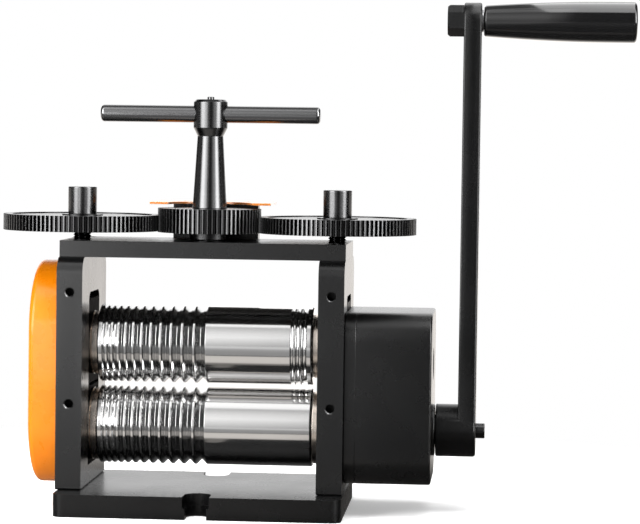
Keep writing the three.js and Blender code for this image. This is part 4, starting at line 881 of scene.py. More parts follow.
CORNERS = [f"{end}_{side}" for side in ("left", "right") for end in ("front", "back")]
BASE_SCREWS = [f"base_screw_{corner}" for corner in CORNERS]
TOP_SCREWS = [f"top_plate_screw_{corner}" for corner in CORNERS]
BASE_CORNER, UPRIGHT_CORNER = 7.0, 10.5
SLOT_WIDTH, SLOT_REACH = 14.0, 20.0
POCKET_WIDTH, POCKET_DEPTH = 17.4, 7.5
WINDOW_TOP, WINDOW_CORNER, WINDOW_PLAY = 142.0, 6.0, 0.3
FRONT_HOLES = (70.7, 143.4)  # heights of the tapped holes
FRONT_HOLE_RADIUS, FRONT_HOLE_DEPTH = 2.6, 16
ROLL_END, SHAFT_RADIUS, SHAFT_END_RADIUS = 71.0, 15.0, 11.0
SCREW_X = middle("right_gear_post").x
POST_BORE_RADIUS, POST_BORE_DEPTH = 6.4, 12.3
SIDE_GEAR_LOW = span("left_gear_post")[0].z - 10.6
CENTRE_GEAR_LOW = span("centre_gear")[1].z - 16.0
LOWER_AXIS, UPPER_AXIS, LAYSHAFT_AXIS = (middle(n).z for n in ("lower_roll", "upper_roll", "layshaft_gear"))
COVER_WALL, COVER_SCREW_INSET = 2.5, 9.0
BOX_LOW, BOX_HIGH = span("gearbox_housing")
BOX_WALL, BOX_CORNER, BOX_ROUNDING, BOX_SCREW_INSET = 4.0, 19.0, 1.5, 13.0
BOX_SCREWS = [
    (y, z)
    for y in (BOX_LOW.y + BOX_SCREW_INSET, BOX_HIGH.y - BOX_SCREW_INSET)
    for z in (BOX_LOW.z + BOX_SCREW_INSET, BOX_HIGH.z - BOX_SCREW_INSET)
]
CRANK_AXIS, GRIP_AXIS = (0, 0, LOWER_AXIS), (0, 0, middle("grip").z)
BOX_BOSS_RADIUS, BOX_BOSS_HEIGHT, LAYSHAFT_BORE = 17, 1.5, 6.4
CRANK_BORE, BUSH_RADIUS, BUSH_SEAT_RADIUS = 10.3, 12.8, 12.9
ARM_ROOT_RADIUS, ARM_WIDTH = 15.7, 11.7
BOLT_HOLE = 6.4  # radius of the hole for the grip's bolt
# Depth of each screw head's seat under the face
TOP_SCREW_SEAT, BOX_SCREW_SEAT, COVER_SCREW_SEAT = 6.6, 6.3, 5.3
BRACKET_SCREW_SEAT, GUARD_SCREW_SEAT = 4.3, 1.0
BEYOND = 3.0  # how far a cutter stands out of the face that it cuts


# Pieces


class PieceOperator(Operator):
    """Builds a piece of the mill."""

    bl_options = {"REGISTER", "UNDO"}

    def execute(self, context):
        self.build()
        return {"FINISHED"}


def bench_slot(edge, side, width, low, high):
    """Cutter for a slot that is open at an edge of the base and has a round end."""
    x = middle("base_plate").x
    end = edge - side * (SLOT_REACH - SLOT_WIDTH / 2)
    turn = math.pi if side > 0 else 0.0
    outline = circle(width / 2, 24, (x, end), turn, math.pi)
    outline += [(x + way * width / 2, edge + side * BEYOND) for way in (side, -side)]
    return as_mesh("slot", prism(outline, low, high))


class MILL_OT_base(PieceOperator):
    """Base plate with its two bench slots and the screws under it."""

    bl_idname = "mill.base"
    bl_label = "Base"

    def build(self):
        low, high = span("base_plate")
        outline = rectangle(low, high, BASE_CORNER)
        plate = as_mesh("base", prism(outline, low.z, high.z), material=enamel("base"))
        tools = []
        for edge, side in ((low.y, -1), (high.y, 1)):
            tools.append(bench_slot(edge, side, SLOT_WIDTH, low.z - BEYOND, high.z + BEYOND))
            tools.append(bench_slot(edge, side, POCKET_WIDTH, high.z - POCKET_DEPTH, high.z + BEYOND))
        for node in BASE_SCREWS:
            at = middle(node)
            tools.append(cylinder(6.9, -BEYOND, 9.2, at=(at.x, at.y, 0)))
        plate = softened(combined(plate, tools), 0.7)
        dressed("base_plate", plate, "frame")
        places = [(middle(n).x, middle(n).y, span(n)[0].z + 8) for n in BASE_SCREWS]
        model = cap_screw(8, 17)
        screw_set("base_screws", model, places, "+z", "frame", BASE_SCREWS)


def window_cutter(low_x, high_x):
    """Cutter for the window of an upright, round at its top corners."""
    block = span("lower_left_block")[0]
    half = WINDOW_PLAY - block.y
    top = [(half, WINDOW_TOP, WINDOW_CORNER), (-half, WINDOW_TOP, WINDOW_CORNER)]
    outline = filleted([(-half, block.z), (half, block.z), *top], True, 8)
    return as_mesh("window", prism(outline, low_x - BEYOND, high_x + BEYOND), "x")


class MILL_OT_uprights(PieceOperator):
    """Uprights with windows for the blocks and tapped holes in front."""

    bl_idname = "mill.uprights"
    bl_label = "Uprights"

    def build(self):
        for side in ("left", "right"):
            low, high = span(f"{side}_upright")
            x = (low.x + high.x) / 2
            foot = [(low.y, low.z + 1), (low.y + 1, low.z), (high.y - 1, low.z), (high.y, low.z + 1)]
            head = [(high.y, high.z, UPRIGHT_CORNER), (low.y, high.z, UPRIGHT_CORNER)]
            outline = filleted(foot + head, True, 10)
            solid = as_mesh("upright", prism(outline, low.x, high.x), "x", material=enamel("enamel"))
            tools = [window_cutter(low.x, high.x)]
            for height in FRONT_HOLES:
                at = (x, low.y, height)
                hole = FRONT_HOLE_RADIUS
                chamfer = turned([(0, -BEYOND), (3.3, -BEYOND), (3.3, 0.05), (hole, 0.75), (0, 0.75)], 40)
                tools.append(as_mesh("chamfer", chamfer, "y", at, steel("bar", "y")))
                tools.append(cylinder(hole, -1, FRONT_HOLE_DEPTH, "y", at, enamel("base")))
            tools.append(cylinder(6.6, WINDOW_TOP - BEYOND, high.z + BEYOND, at=(x, 0, 0)))
            inner, out = (high.x, 1) if side == "left" else (low.x, -1)
            wedge = [(low.z + 1.8, inner + out), (low.z - 1, inner - 1.8 * out), (low.z - 1, inner + out)]
            tools.append(as_mesh("chamfer", prism(wedge, low.y - 1, high.y + 1), "y"))
            if side == "right":
                for y, z in BOX_SCREWS:
                    tools.append(cylinder(5.5, low.x - BEYOND, low.x + BOX_SCREW_SEAT, "x", (0, y, z)))
            solid = softened(combined(solid, tools), 0.5)
            dressed(f"{side}_upright", solid, "frame")


class MILL_OT_top_plate(PieceOperator):
    """Top plate with its screws."""

    bl_idname = "mill.top_plate"
    bl_label = "Top plate"

    def build(self):
        low, high = span("top_plate")
        plate = as_mesh("plate", prism(rectangle(low, high), low.z, high.z), material=enamel("enamel"))
        tools = []
        for node in TOP_SCREWS:
            at = middle(node)
            tools.append(cylinder(5.4, high.z - TOP_SCREW_SEAT, high.z + BEYOND, at=(at.x, at.y, 0)))
        for x in (-SCREW_X, 0, SCREW_X):
            tools.append(cylinder(6.5, low.z - BEYOND, high.z + BEYOND, at=(x, 0, 0)))
        tools.append(cylinder(9.6, low.z - BEYOND, low.z + 4.6))  # seat of the retaining ring
        plate = softened(combined(plate, tools), 0.45)
        dressed("top_plate", plate, "frame")
        places = [(middle(n).x, middle(n).y, high.z - TOP_SCREW_SEAT) for n in TOP_SCREWS]
        model = cap_screw(6, 16)
        screw_set("top_plate_screws", model, places, "-z", "frame", TOP_SCREWS)


def coil(low, high, curls=4, wire=0.6, steps=24, sides=10):
    """Compression spring that fills a box, as one tube about its own axis."""
    bm = bmesh.new()
    radius = (high.x - low.x) / 2 - wire
    count = curls * steps
    rings = []
    for i in range(count + 1):
        angle = 2 * math.pi * i / steps
        height = low.z + wire + (high.z - low.z - 2 * wire) * i / count
        section = circle(wire, sides, (radius, height))
        rings.append([bm.verts.new((r * math.cos(angle), r * math.sin(angle), z)) for r, z in section])
    for lower, upper in zip(rings, rings[1:]):
        skin(bm, lower, upper)
    bm.faces.new(rings[0])
    bm.faces.new(rings[-1])
    return bm


class MILL_OT_bearings(PieceOperator):
    """Bearing blocks, flanged bushings, thrust pads and return springs."""

    bl_idname = "mill.bearings"
    bl_label = "Bearings"

    def build(self):
        for level, body in (("lower", "frame"), ("upper", "upper_carriage")):
            for side, sign in (("left", -1), ("right", 1)):
                node = f"{level}_{side}_bushing"
                low, high = span(node)
                near, far = sorted((low.x, high.x), key=lambda x: x * sign)
                face = middle(f"{side}_upright").x - sign * 8.45
                bore, sleeve, flange = 15.3, 18.3, (high.z - low.z) / 2
                groove = near + sign * 4.2
                profile = [
                    (bore, near),
                    (flange, near, 0.5),
                    (flange, groove - sign * 0.3),
                    (flange - 0.8, groove),
                    (flange, groove + sign * 0.3),
                    (flange, face, 0.3),
                    (sleeve, face),
                    (sleeve, far),
                    (bore, far),
                ]
                centre = (0, 0, (low.z + high.z) / 2)
                mesh = as_mesh("bushing", turned(profile, 96, True), "x", centre)
                dressed(node, mesh, body, steel("bronze", "x"))
        for side in ("left", "right"):
            refinish([f"lower_{side}_block", f"upper_{side}_block"], steel("gear", "z"))
            refinish([f"{side}_thrust_pad"], steel("ground", "z"))
        for corner in CORNERS:
            node = f"return_spring_{corner}"
            low, high = span(node)
            x, y = middle(node).x, middle(node).y
            wire = as_mesh(node, coil(low, high), at=(x, y, 0), material=steel("machined", "z"))
            obj = linked(f"{node}_dressed", wire)
            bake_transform(obj)
            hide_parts(node)


def wire_grooves(radius, left_end):
    """Profile of the wire grooves, and where the flat begins."""
    rolls = settings("mill_rolls")
    smallest, largest = rolls.smallest_wire / MM, rolls.largest_wire / MM
    along = left_end + rolls.first_land / MM
    points = []
    for i in range(rolls.wire_grooves):
        width = (smallest + (largest - smallest) * i / (rolls.wire_grooves - 1)) * math.sqrt(2)
        points.append((radius, along, 0.14))
        points.append((radius - width / 2, along + width / 2, 0.12))
        points.append((radius, along + width, 0.14))
        along += width + rolls.land / MM
    return points, along - rolls.land / MM + rolls.flat_lead / MM


def half_round_grooves(radius, start, steps=8):
    """Profile of the three half-round grooves at the right end of the upper roll."""
    points = []
    along = start
    for width in (2.5, 3.0, 4.0):
        half, centre = width / 2, along + width / 2
        for i in range(steps + 1):
            angle = math.pi * i / steps
            points.append((radius - half * math.sin(angle), centre - half * math.cos(angle)))
        along += width + settings("mill_rolls").half_round_land / MM
    return points


class MILL_OT_rolls(PieceOperator):
    """Both rolls, ground on their faces, with their shafts."""

    bl_idname = "mill.rolls"
    bl_label = "Rolls"

    def build(self):
        rolls = settings("mill_rolls")
        chamfer = rolls.end_chamfer / MM
        thick, thin = SHAFT_RADIUS, SHAFT_END_RADIUS
        for level, body in (("upper", "upper_rotor"), ("lower", "lower_rotor")):
            node = f"{level}_roll"
            low, high = span(node)
            axis_height = (low.z + high.z) / 2
            radius = (high.y - low.y) / 2
            gear_face = span(f"{level}_coupling_gear")[1].x
            grooves, flat = wire_grooves(radius, -ROLL_END)
            if level == "upper":
                grooves += half_round_grooves(radius, flat + rolls.flat_length / MM)
                right = [(thick, high.x, 0.6), (0, high.x)]
            else:
                step = span("output_gear")[0].x
                right = [(thick, step), (thin, step), (thin, high.x, 0.5), (0, high.x)]
            profile = [
                (0, low.x),
                (thin, low.x, 0.5),
                (thin, gear_face),
                (thick, gear_face),
                (thick, -ROLL_END),
                (radius - chamfer, -ROLL_END, 0.2),
                (radius, -ROLL_END + chamfer, 0.2),
                *grooves,
                (radius, ROLL_END - chamfer, 0.2),
                (radius - chamfer, ROLL_END, 0.2),
                (thick, ROLL_END),
                *right,
            ]
            mesh = as_mesh(node, turned(profile, 128, steps=3), "x", (0, 0, axis_height))
            dressed(node, mesh, body, steel("ground", "x"))


def capsule(radius, low, high, segments=28):
    """Outline in (Y, Z) with round ends about two heights."""
    upper = circle(radius, segments, (0, high), 0, math.pi)
    return upper + circle(radius, segments, (0, low), math.pi, math.pi)


def rounded_shell(outline, base, end, rounding, steps=7):
    """Loops from a base to an end whose rim is rounded; outline is a function of its inset."""
    direction = 1 if end > base else -1
    loops = [(base, outline(0.0)), (end - direction * rounding, outline(0.0))]
    for i in range(1, steps + 1):
        angle = math.pi / 2 * i / steps
        inset = rounding * (1 - math.cos(angle))
        loops.append((end - direction * rounding * (1 - math.sin(angle)), outline(inset)))
    return stacked(loops)


class MILL_OT_left_cover(PieceOperator):
    """Cover over the coupling gears, with its screws."""

    bl_idname = "mill.left_cover"
    bl_label = "Left cover"

    def build(self):
        low, high = span("left_cover")
        radius = (high.y - low.y) / 2
        bottom, top = low.z + radius, high.z - radius

        def outline(inset):
            return capsule(radius - inset, bottom, top)

        def inner(inset):
            return capsule(radius - COVER_WALL - inset, bottom, top)

        paint = enamel("orange")
        shell = as_mesh("cover", rounded_shell(outline, high.x, low.x, 4.2), "x", material=paint)
        hollow = as_mesh("hollow", rounded_shell(inner, high.x + 2, low.x + COVER_WALL, 2), "x")
        shell = combined(shell, [hollow])
        reach = radius - COVER_SCREW_INSET
        places = [(y, z) for y in (-reach, reach) for z in (bottom, top)]
        posts = [cylinder(6.2, low.x + 1, high.x, "x", (0, y, z)) for y, z in places]
        shell = combined(shell, posts, "UNION")
        seat = low.x + COVER_SCREW_SEAT
        tools = [cylinder(4.55, low.x - BEYOND, seat, "x", (0, y, z)) for y, z in places]
        shell = softened(combined(shell, tools), 0.35)
        dressed("left_cover", shell, "frame", paint)
        seats = [(seat, y, z) for y, z in places]
        screw_set("left_cover_screws", cap_screw(5, 24), seats, "+x", "frame")


def box_outline(inset):
    """Outline of the gearbox in (Y, Z), drawn in by an inset."""
    low = BOX_LOW.y + inset, BOX_LOW.z + inset
    high = BOX_HIGH.y - inset, BOX_HIGH.z - inset
    return rectangle(low, high, BOX_CORNER - inset, 12)


class MILL_OT_gearbox(PieceOperator):
    """Gearbox: its flange plate, housing, crank bush and hidden screws."""

    bl_idname = "mill.gearbox"
    bl_label = "Gearbox"

    def build(self):
        black = enamel("enamel")
        layshaft_axis = (0, 0, LAYSHAFT_AXIS)
        low, high = span("gearbox_flange")
        plate = as_mesh("flange", prism(box_outline(0.0), low.x, high.x), "x", material=black)
        bores = [
            cylinder(15.7, low.x - BEYOND, high.x + BEYOND, "x", CRANK_AXIS),
            cylinder(LAYSHAFT_BORE, high.x - 5, high.x + BEYOND, "x", layshaft_axis),
        ]
        plate = softened(combined(plate, bores), 0.8)
        dressed("gearbox_flange", plate, "frame")

        start = high.x
        end = BOX_HIGH.x - BOX_BOSS_HEIGHT
        shell = rounded_shell(box_outline, start, end, BOX_ROUNDING)
        shell = as_mesh("housing", shell, "x", material=black)
        hollow = as_mesh("hollow", prism(box_outline(BOX_WALL), start - BEYOND, end - BOX_WALL), "x")
        shell = combined(shell, [hollow])
        radius, top = BOX_BOSS_RADIUS, end + BOX_BOSS_HEIGHT
        boss = turned([(0, end - 1), (radius, end - 1), (radius, top, 0.5), (0, top)])
        additions = [
            as_mesh("boss", boss, "x", CRANK_AXIS),
            cylinder(16.8, end - 23, end - 1, "x", CRANK_AXIS),
            cylinder(10.5, end - 9, end - 1, "x", layshaft_axis),
        ]
        additions += [cylinder(6.5, start, end - 2, "x", (0, y, z)) for y, z in BOX_SCREWS]
        shell = combined(shell, additions, "UNION")
        tools = [
            cylinder(BUSH_SEAT_RADIUS, end - 30, end + 5, "x", CRANK_AXIS),
            cylinder(10.75, end - 1.5, end + 5, "x", layshaft_axis, segments=64),
            cylinder(LAYSHAFT_BORE, end - 12, end - 4, "x", layshaft_axis),
        ]
        shell = softened(combined(shell, tools), 0.6)
        dressed("gearbox_housing", shell, "frame", black)

        low, high = span("crank_bush")
        profile = [(CRANK_BORE, low.x), (BUSH_RADIUS, low.x, 0.3), (BUSH_RADIUS, high.x, 0.3)]
        profile.append((CRANK_BORE, high.x, 0.3))
        bush = as_mesh("bush", turned(profile, 72, True), "x", CRANK_AXIS)
        dressed("crank_bush", bush, "frame", steel("bronze", "x"))
        seat = span("right_upright")[0].x + BOX_SCREW_SEAT
        places = [(seat, y, z) for y, z in BOX_SCREWS]
        screw_set("gearbox_screws", cap_screw(6, 29), places, "+x", "frame")


def fine_gear(node, teeth, first, bore, body, recess=None):
    """Adjusting gear with fine teeth, its rims broken; recess is (inner, outer, depth)."""
    low, high = span(node)
    low_z = SIDE_GEAR_LOW if "adjusting" in node else CENTRE_GEAR_LOW
    gears = settings("mill_gears")
    module = 2 * SCREW_X / (gears.side_teeth + gears.centre_teeth)
    pitch = module * teeth / 2
    dark = steel("gear", "z")
    tip, root = pitch + 0.75 * module, pitch - 1.15 * module  # stub teeth
    # The tooth tips take the brighter land steel, a painted highlight
    mesh = gear_mesh(teeth, pitch, tip, root, 0.3, first, bore, low_z, high.z, dark, steel("land", "z"))
    if recess:
        inner, outer, depth = recess
        floor, top = high.z - depth, high.z + 2
        ring = turned([(inner, floor), (outer, floor), (outer, top), (inner, top)], 96, True)
        mesh = combined(mesh, [as_mesh("recess", ring, material=dark)])
    boss = 8.3 if "adjusting" in node else 13.0
    joint = low_z + 0.5
    hub = turned([(bore, low.z), (boss, low.z, 0.5), (boss, joint), (bore, joint)], 64, True)
    mesh = combined(mesh, [as_mesh("hub", hub, material=dark)], "UNION")
    mesh = placed(softened(mesh, 0.12, 1), "z", (middle(node).x, 0, 0))
    dressed(node, mesh, body)


class MILL_OT_adjusters(PieceOperator):
    """Side gears, their posts and the threaded adjusting screws."""

    bl_idname = "mill.adjusters"
    bl_label = "Adjusters"

    def build(self):
        teeth = settings("mill_gears").side_teeth
        black = steel("blackened", "z")
        for side, first in (("left", 0.0), ("right", math.pi + math.pi / teeth)):
            body = f"{side}_adjuster"
            fine_gear(f"{side}_adjusting_gear", teeth, first, 6.3, body, (13.5, 46.5, 0.8))
            node = f"{side}_gear_post"
            low, high = span(node)
            x = (low.x + high.x) / 2
            bore, depth = POST_BORE_RADIUS, low.z + POST_BORE_DEPTH
            rim = [(9.6, low.z, 0.4), (9.6, high.z, 0.6)]
            outside = turned([(bore, low.z), *rim, (2.2, high.z), (0, high.z - 1.3)])
            inside = turned([(0, depth), (bore, depth), (bore, low.z)])
            post = as_mesh(node, merged(outside, inside), at=(x, 0, 0))
            dressed(node, post, body, black)
            node = f"{side}_adjusting_screw"
            low, high = span(node)
            mesh = as_mesh(node, threaded_rod(6.0, 1.75, 1.0, low.z, high.z), at=(x, 0, 0))
            dressed(node, mesh, body, steel("gear", "z"))


def merged(first, second):
    """Two bmeshes as one, whose shared rims are welded later."""
    spare = bpy.data.meshes.new("spare")
    second.to_mesh(spare)
    second.free()
    first.from_mesh(spare)
    bpy.data.meshes.remove(spare)
    return first


class MILL_OT_tee_handle(PieceOperator):
    """T-handle: spindle, bar, set screw, centre gear and retaining ring."""

    bl_idname = "mill.tee_handle"
    bl_label = "T-handle"

    def build(self):
        black = steel("blackened", "z")
        teeth = settings("mill_gears").centre_teeth
        fine_gear("centre_gear", teeth, 0.0, 8.3, "tee_handle")
        low, high = span("tee_spindle")
        bar_low, bar_high = span("tee_bar")
        bar_z = (bar_low.z + bar_high.z) / 2
        gear_top = span("centre_gear")[1].z
        plate_top = span("top_plate")[1].z
        profile = [
            (0, low.z),
            (5.2, low.z),
            (6, low.z + 0.8),
            (6, plate_top + 0.3),
            (8, plate_top + 0.3),
            (8, gear_top),
            (11.45, gear_top, 0.3),
            (8.6, gear_top + 48, 1.0),
            (10.9, gear_top + 52.4, 0.5),
            (11.35, gear_top + 53.4, 0.4),
            (11.35, high.z - 1.7, 0.5),
            (9.6, high.z, 0.4),
            (0, high.z),
        ]
        spindle = as_mesh("spindle", turned(profile, 96), material=black)
        tools = [
            cylinder(5.72, -20, 20, "x", (0, 0, bar_z), segments=64),
            cylinder(2.5, bar_z, high.z + 3, material=black),
        ]
        spindle = softened(combined(spindle, tools), 0.2, 2)
        dressed("tee_spindle", spindle, "tee_handle", black)
        radius = (bar_high.z - bar_low.z) / 2
        profile = [(0, bar_low.x), (radius, bar_low.x, 2.4), (radius, bar_high.x, 2.4), (0, bar_high.x)]
        bar = as_mesh("bar", turned(profile, 64, steps=8), "x", (0, 0, bar_z))
        dressed("tee_bar", bar, "tee_handle", steel("bar", "x"))
        low, high = span("tee_screw")
        screw = as_mesh("screw", turned([(0, low.z), (2.3, low.z), (2.3, high.z, 0.5), (0, high.z)], 40))
        socket = as_mesh("socket", prism(circle(1.3, 6), high.z - 1.2, high.z + 1))
        screw = softened(combined(screw, [socket]), 0.1, 2)
        dressed("tee_screw", screw, "tee_handle", black)
        refinish(["spindle_ring"], steel("gear", "z"))


class MILL_OT_guard(PieceOperator):
    """Guard plate over the adjusting gears, its bracket and their screws."""

    bl_idname = "mill.guard"
    bl_label = "Guard"

    def build(self):
        low, high = span("guard_bracket")
        bracket = as_mesh("bracket", prism(rectangle(low, high), low.z, high.z), material=enamel("enamel"))
        height = middle("top_plate").z
        reach = (high.x - low.x) * 0.3
        places = [(x, height) for x in (-reach, reach)]
        seat = high.y - BRACKET_SCREW_SEAT
        tools = [cylinder(3.8, seat, high.y + BEYOND, "y", (x, 0, z)) for x, z in places]
        bracket = softened(combined(bracket, tools), 0.6)
        dressed("guard_bracket", bracket, "frame")
        seats = [(x, seat, z) for x, z in places]
        screw_set("bracket_screws", cap_screw(4, 18), seats, "-y", "frame")

        plate_low, plate_high = span("guard_plate")
        left, right = plate_low.x, plate_high.x
        notch, corner = 28, 4  # radii of the opening round the centre gear and of the back corners
        lean = math.asin(plate_low.y / notch)
        back = [(right, plate_high.y, corner), (left, plate_high.y, corner)]
        outline = filleted([(right, plate_low.y), *back, (left, plate_low.y)], False, 6)
        outline += circle(notch, 40, (0, 0), math.pi - lean, 2 * lean - math.pi)
        plate = as_mesh("guard", prism(outline, plate_low.z, plate_high.z))
        seats = [(x, (low.y + high.y) / 2, plate_high.z - GUARD_SCREW_SEAT) for x in (-22, 22)]
        tools = [cylinder(3.7, z, z + 4, at=(x, y, 0)) for x, y, z in seats]
        plate = softened(combined(plate, tools), 0.25)
        dressed("guard_plate", plate, "frame", enamel("sheet"))
        screw_set("guard_screws", cap_screw(4, 12, GUARD_SCREW_SEAT, 2.5), seats, "-z", "frame")


class MILL_OT_gear_train(PieceOperator):
    """Coupling gears, gears of the gearbox, the layshaft and the end bolts."""

    bl_idname = "mill.gear_train"
    bl_label = "Gear train"

    def build(self):
        gears = settings("mill_gears")
        up = math.pi / 2
        dark = steel("gear", "x")
        distance = LAYSHAFT_AXIS - LOWER_AXIS
        module_in = 2 * distance / (gears.crank_teeth + gears.layshaft_teeth)
        module_out = 2 * distance / (gears.pinion_teeth + gears.output_teeth)
        low, high = span("lower_coupling_gear")
        teeth, tip = gears.coupling_teeth, (high.z - low.z) / 2
        low, high = span("upper_roll")
        pitch = (high.y - low.y) / 2  # the coupling gears roll as the rolls do
        # Node, body, teeth, pitch radius, tip, root, backlash, first tooth, bore, height
        rows = []
        for level, first, height in (
            ("upper", -up + math.pi / teeth, UPPER_AXIS),
            ("lower", up, LOWER_AXIS),
        ):
            node, body = f"{level}_coupling_gear", f"{level}_rotor"
            rows.append((node, body, teeth, pitch, tip, 22.0, 1.0, first, 11.3, height))
        for node, body, count, module, first, bore, height in (
            ("output_gear", "lower_rotor", gears.output_teeth, module_out, up, 11.3, LOWER_AXIS),
            ("layshaft_gear", "layshaft_rotor", gears.layshaft_teeth, module_in,
             -up + math.pi / gears.layshaft_teeth, 9.3, LAYSHAFT_AXIS),
        ):
            pitch = module * count / 2
            tip, root = pitch + module, pitch - 1.25 * module
            rows.append((node, body, count, pitch, tip, root, 0.35, first, bore, height))
        for node, body, *sizes, height in rows:
            low, high = span(node)
            mesh = gear_mesh(*sizes, low.x, high.x, dark)
            mesh = placed(softened(mesh, 0.25, 2), "x", (0, 0, height))
            dressed(node, mesh, body, dark)
        refinish(["layshaft", "crank_shaft"], dark)
        refinish(["upper_end_bolt", "lower_end_bolt", "output_end_bolt"], steel("blackened", "x"))


class MILL_OT_crank(PieceOperator):
    """Crank arm with its hub, axis screw, grip bolt, nut and washer."""

    bl_idname = "mill.crank"
    bl_label = "Crank"

    def build(self):
        low, high = span("crank_arm")
        grip_z = GRIP_AXIS[2]
        hub_radius = (high.y - low.y) / 2
        arm_low = high.x - ARM_WIDTH
        root, tip = ARM_ROOT_RADIUS, high.z - grip_z
        lean = math.asin((root - tip) / (grip_z - LOWER_AXIS))
        outline = circle(tip, 28, (0, grip_z), lean, math.pi - 2 * lean)
        outline += circle(root, 36, (0, LOWER_AXIS), math.pi - lean, math.pi + 2 * lean)
        arm = softened(as_mesh("arm", prism(outline, arm_low, high.x), "x"), 1.1, 3)
        hub = turned([(0, low.x), (hub_radius, low.x, 0.9), (hub_radius, high.x, 1.8), (0, high.x)])
        mesh = combined(arm, [as_mesh("hub", hub, "x", CRANK_AXIS)], "UNION")
        tools = [
            cylinder(CRANK_BORE, low.x - BEYOND, high.x - 5, "x", CRANK_AXIS),
            cylinder(3.3, low.x, high.x + BEYOND, "x", CRANK_AXIS),
            cylinder(BOLT_HOLE, arm_low - BEYOND, high.x + BEYOND, "x", GRIP_AXIS),
        ]
        mesh = combined(mesh, tools)
        dressed("crank_arm", mesh, "crank", enamel("crank"))
        model = cap_screw(6, 16, span("crank_screw")[1].x - high.x)
        place = high.x, 0, LOWER_AXIS
        screw_set("crank_screw_dressed", model, [place], "-x", "crank", ["crank_screw"])

        black = steel("blackened", "x")
        low, high = span("grip_nut")
        flats = (high.y - low.y) / math.sqrt(3)
        hexagon = prism(circle(flats, 6, (0, 0), math.pi / 2), low.x, high.x)
        wide, top = flats + 0.3, high.x + 1
        dome = turned([(0, low.x), (flats * 0.9, low.x), (wide, low.x + 2), (wide, top), (0, top)])
        nut = as_mesh("nut", hexagon, "x", GRIP_AXIS)
        nut = combined(nut, [as_mesh("dome", dome, "x", GRIP_AXIS)], "INTERSECT")
        nut = combined(nut, [cylinder(6.2, low.x - BEYOND, high.x + BEYOND, "x", GRIP_AXIS)])
        dressed("grip_nut", softened(nut, 0.2, 2), "crank", black)
        low, high = span("grip_bolt")
        head = high.x - 8
        shank = [(0, low.x), (5, low.x), (6, low.x + 1), (6, head)]
        profile = [*shank, (9, head, 0.3), (9, high.x, 0.8), (0, high.x)]
        bolt = as_mesh("bolt", turned(profile, 64), "x", GRIP_AXIS)
        socket = as_mesh("socket", prism(circle(5.8, 6), high.x - 5, high.x + 1), "x", GRIP_AXIS)
        dressed("grip_bolt", combined(bolt, [socket]), "crank", black)
        low, high = span("grip_washer")
        radius = (high.y - low.y) / 2
        washer = [(BOLT_HOLE, low.x), (radius, low.x, 0.25), (radius, high.x, 0.25), (BOLT_HOLE, high.x)]
        washer = as_mesh("washer", turned(washer, 64, True), "x", GRIP_AXIS)
        dressed("grip_washer", washer, "crank", steel("machined", "x"))


# Share of the grip's length, and its radius there
GRIP_SHAPE = (
    (0.0, 10.1), (0.012, 10.45), (0.1, 11.1), (0.22, 11.85), (0.34, 12.5),
    (0.45, 12.98), (0.6, 13.45), (0.75, 13.65), (0.88, 13.7), (0.97, 13.7),
)


def spline(points, share):
    """Smooth curve through points (share, value): cubic with slopes from its neighbours."""
    for i in range(len(points) - 1):
        if share <= points[i + 1][0]:
            break
    (x0, y0), (x1, y1) = points[i], points[i + 1]
    before, after = points[max(i - 1, 0)], points[min(i + 2, len(points) - 1)]
    first = (y1 - before[1]) / (x1 - before[0])
    last = (after[1] - y0) / (after[0] - x0)
    width = x1 - x0
    t = (share - x0) / width
    return (
        (2 * t**3 - 3 * t**2 + 1) * y0
        + (t**3 - 2 * t**2 + t) * width * first
        + (3 * t**2 - 2 * t**3) * y1
        + (t**3 - t**2) * width * last
    )


class MILL_OT_grip(PieceOperator):
    """Turned grip of the crank."""

    bl_idname = "mill.grip"
    bl_label = "Grip"

    def build(self):
        low, high = span("grip")
        length = high.x - low.x
        shares = [0.015 + 0.95 * i / 40 for i in range(41)]
        recess = high.x - 13.3  # floor of the recess for the bolt's head
        profile = [(BOLT_HOLE, low.x), (9.4, low.x, 0.5), (10.4, low.x + 1.1, 0.5)]
        profile += [(spline(GRIP_SHAPE, s), low.x + s * length) for s in shares]
        profile += [(13.7, high.x, 2.2), (9.6, high.x, 0.5), (9.6, recess), (BOLT_HOLE, recess)]
        mesh = as_mesh("grip", turned(profile, 96, True), "x", (0, 0, (low.z + high.z) / 2))
        dressed("grip", mesh, "grip", enamel("plastic"))


# Stage

CAMERA_PLACE = (0.201087, -1.789464, 0.24652)
CAMERA_YAW, CAMERA_PITCH, CAMERA_ROLL = (math.radians(a) for a in (4.062, -2.649, 0.769))
CAMERA_LENS = 152.26


def camera_turn():
    """Rotation of the camera from its yaw, pitch and roll."""
    forward = Vector(
        (
            -math.sin(CAMERA_YAW) * math.cos(CAMERA_PITCH),
            math.cos(CAMERA_YAW) * math.cos(CAMERA_PITCH),
            math.sin(CAMERA_PITCH),
        )
    )
    right = Vector((math.cos(CAMERA_YAW), math.sin(CAMERA_YAW), 0))
    up = right.cross(forward)
    c, s = math.cos(CAMERA_ROLL), math.sin(CAMERA_ROLL)
    tilted_right = right * c + up * s
    tilted_up = up * c - right * s
    return Matrix((tilted_right, tilted_up, -forward)).transposed().to_4x4()


def lamp(name, place, target, width, height, power, mirrored=False):
    """Soft rectangular lamp; most aren't mirrored, as the studio's walls do that."""
    data = bpy.data.lights.new(name, "AREA")
    data.shape = "RECTANGLE"
    data.size, data.size_y = width, height
    data.energy = power
    obj = linked(name, data)
    obj.location = place
    obj.rotation_euler = (Vector(target) - Vector(place)).to_track_quat("-Z", "Y").to_euler()
    obj.visible_glossy = mirrored


# Softbox at the left of the camera: elevation in degrees, brightness
SOFTBOX = (
    (-90, 0.3), (-16, 0.38), (-3, 0.58), (4, 0.76), (15, 1.0), (25, 1.23),
    (36, 1.07), (45, 0.86), (55, 0.6), (60, 0.0), (90, 0.0),
)


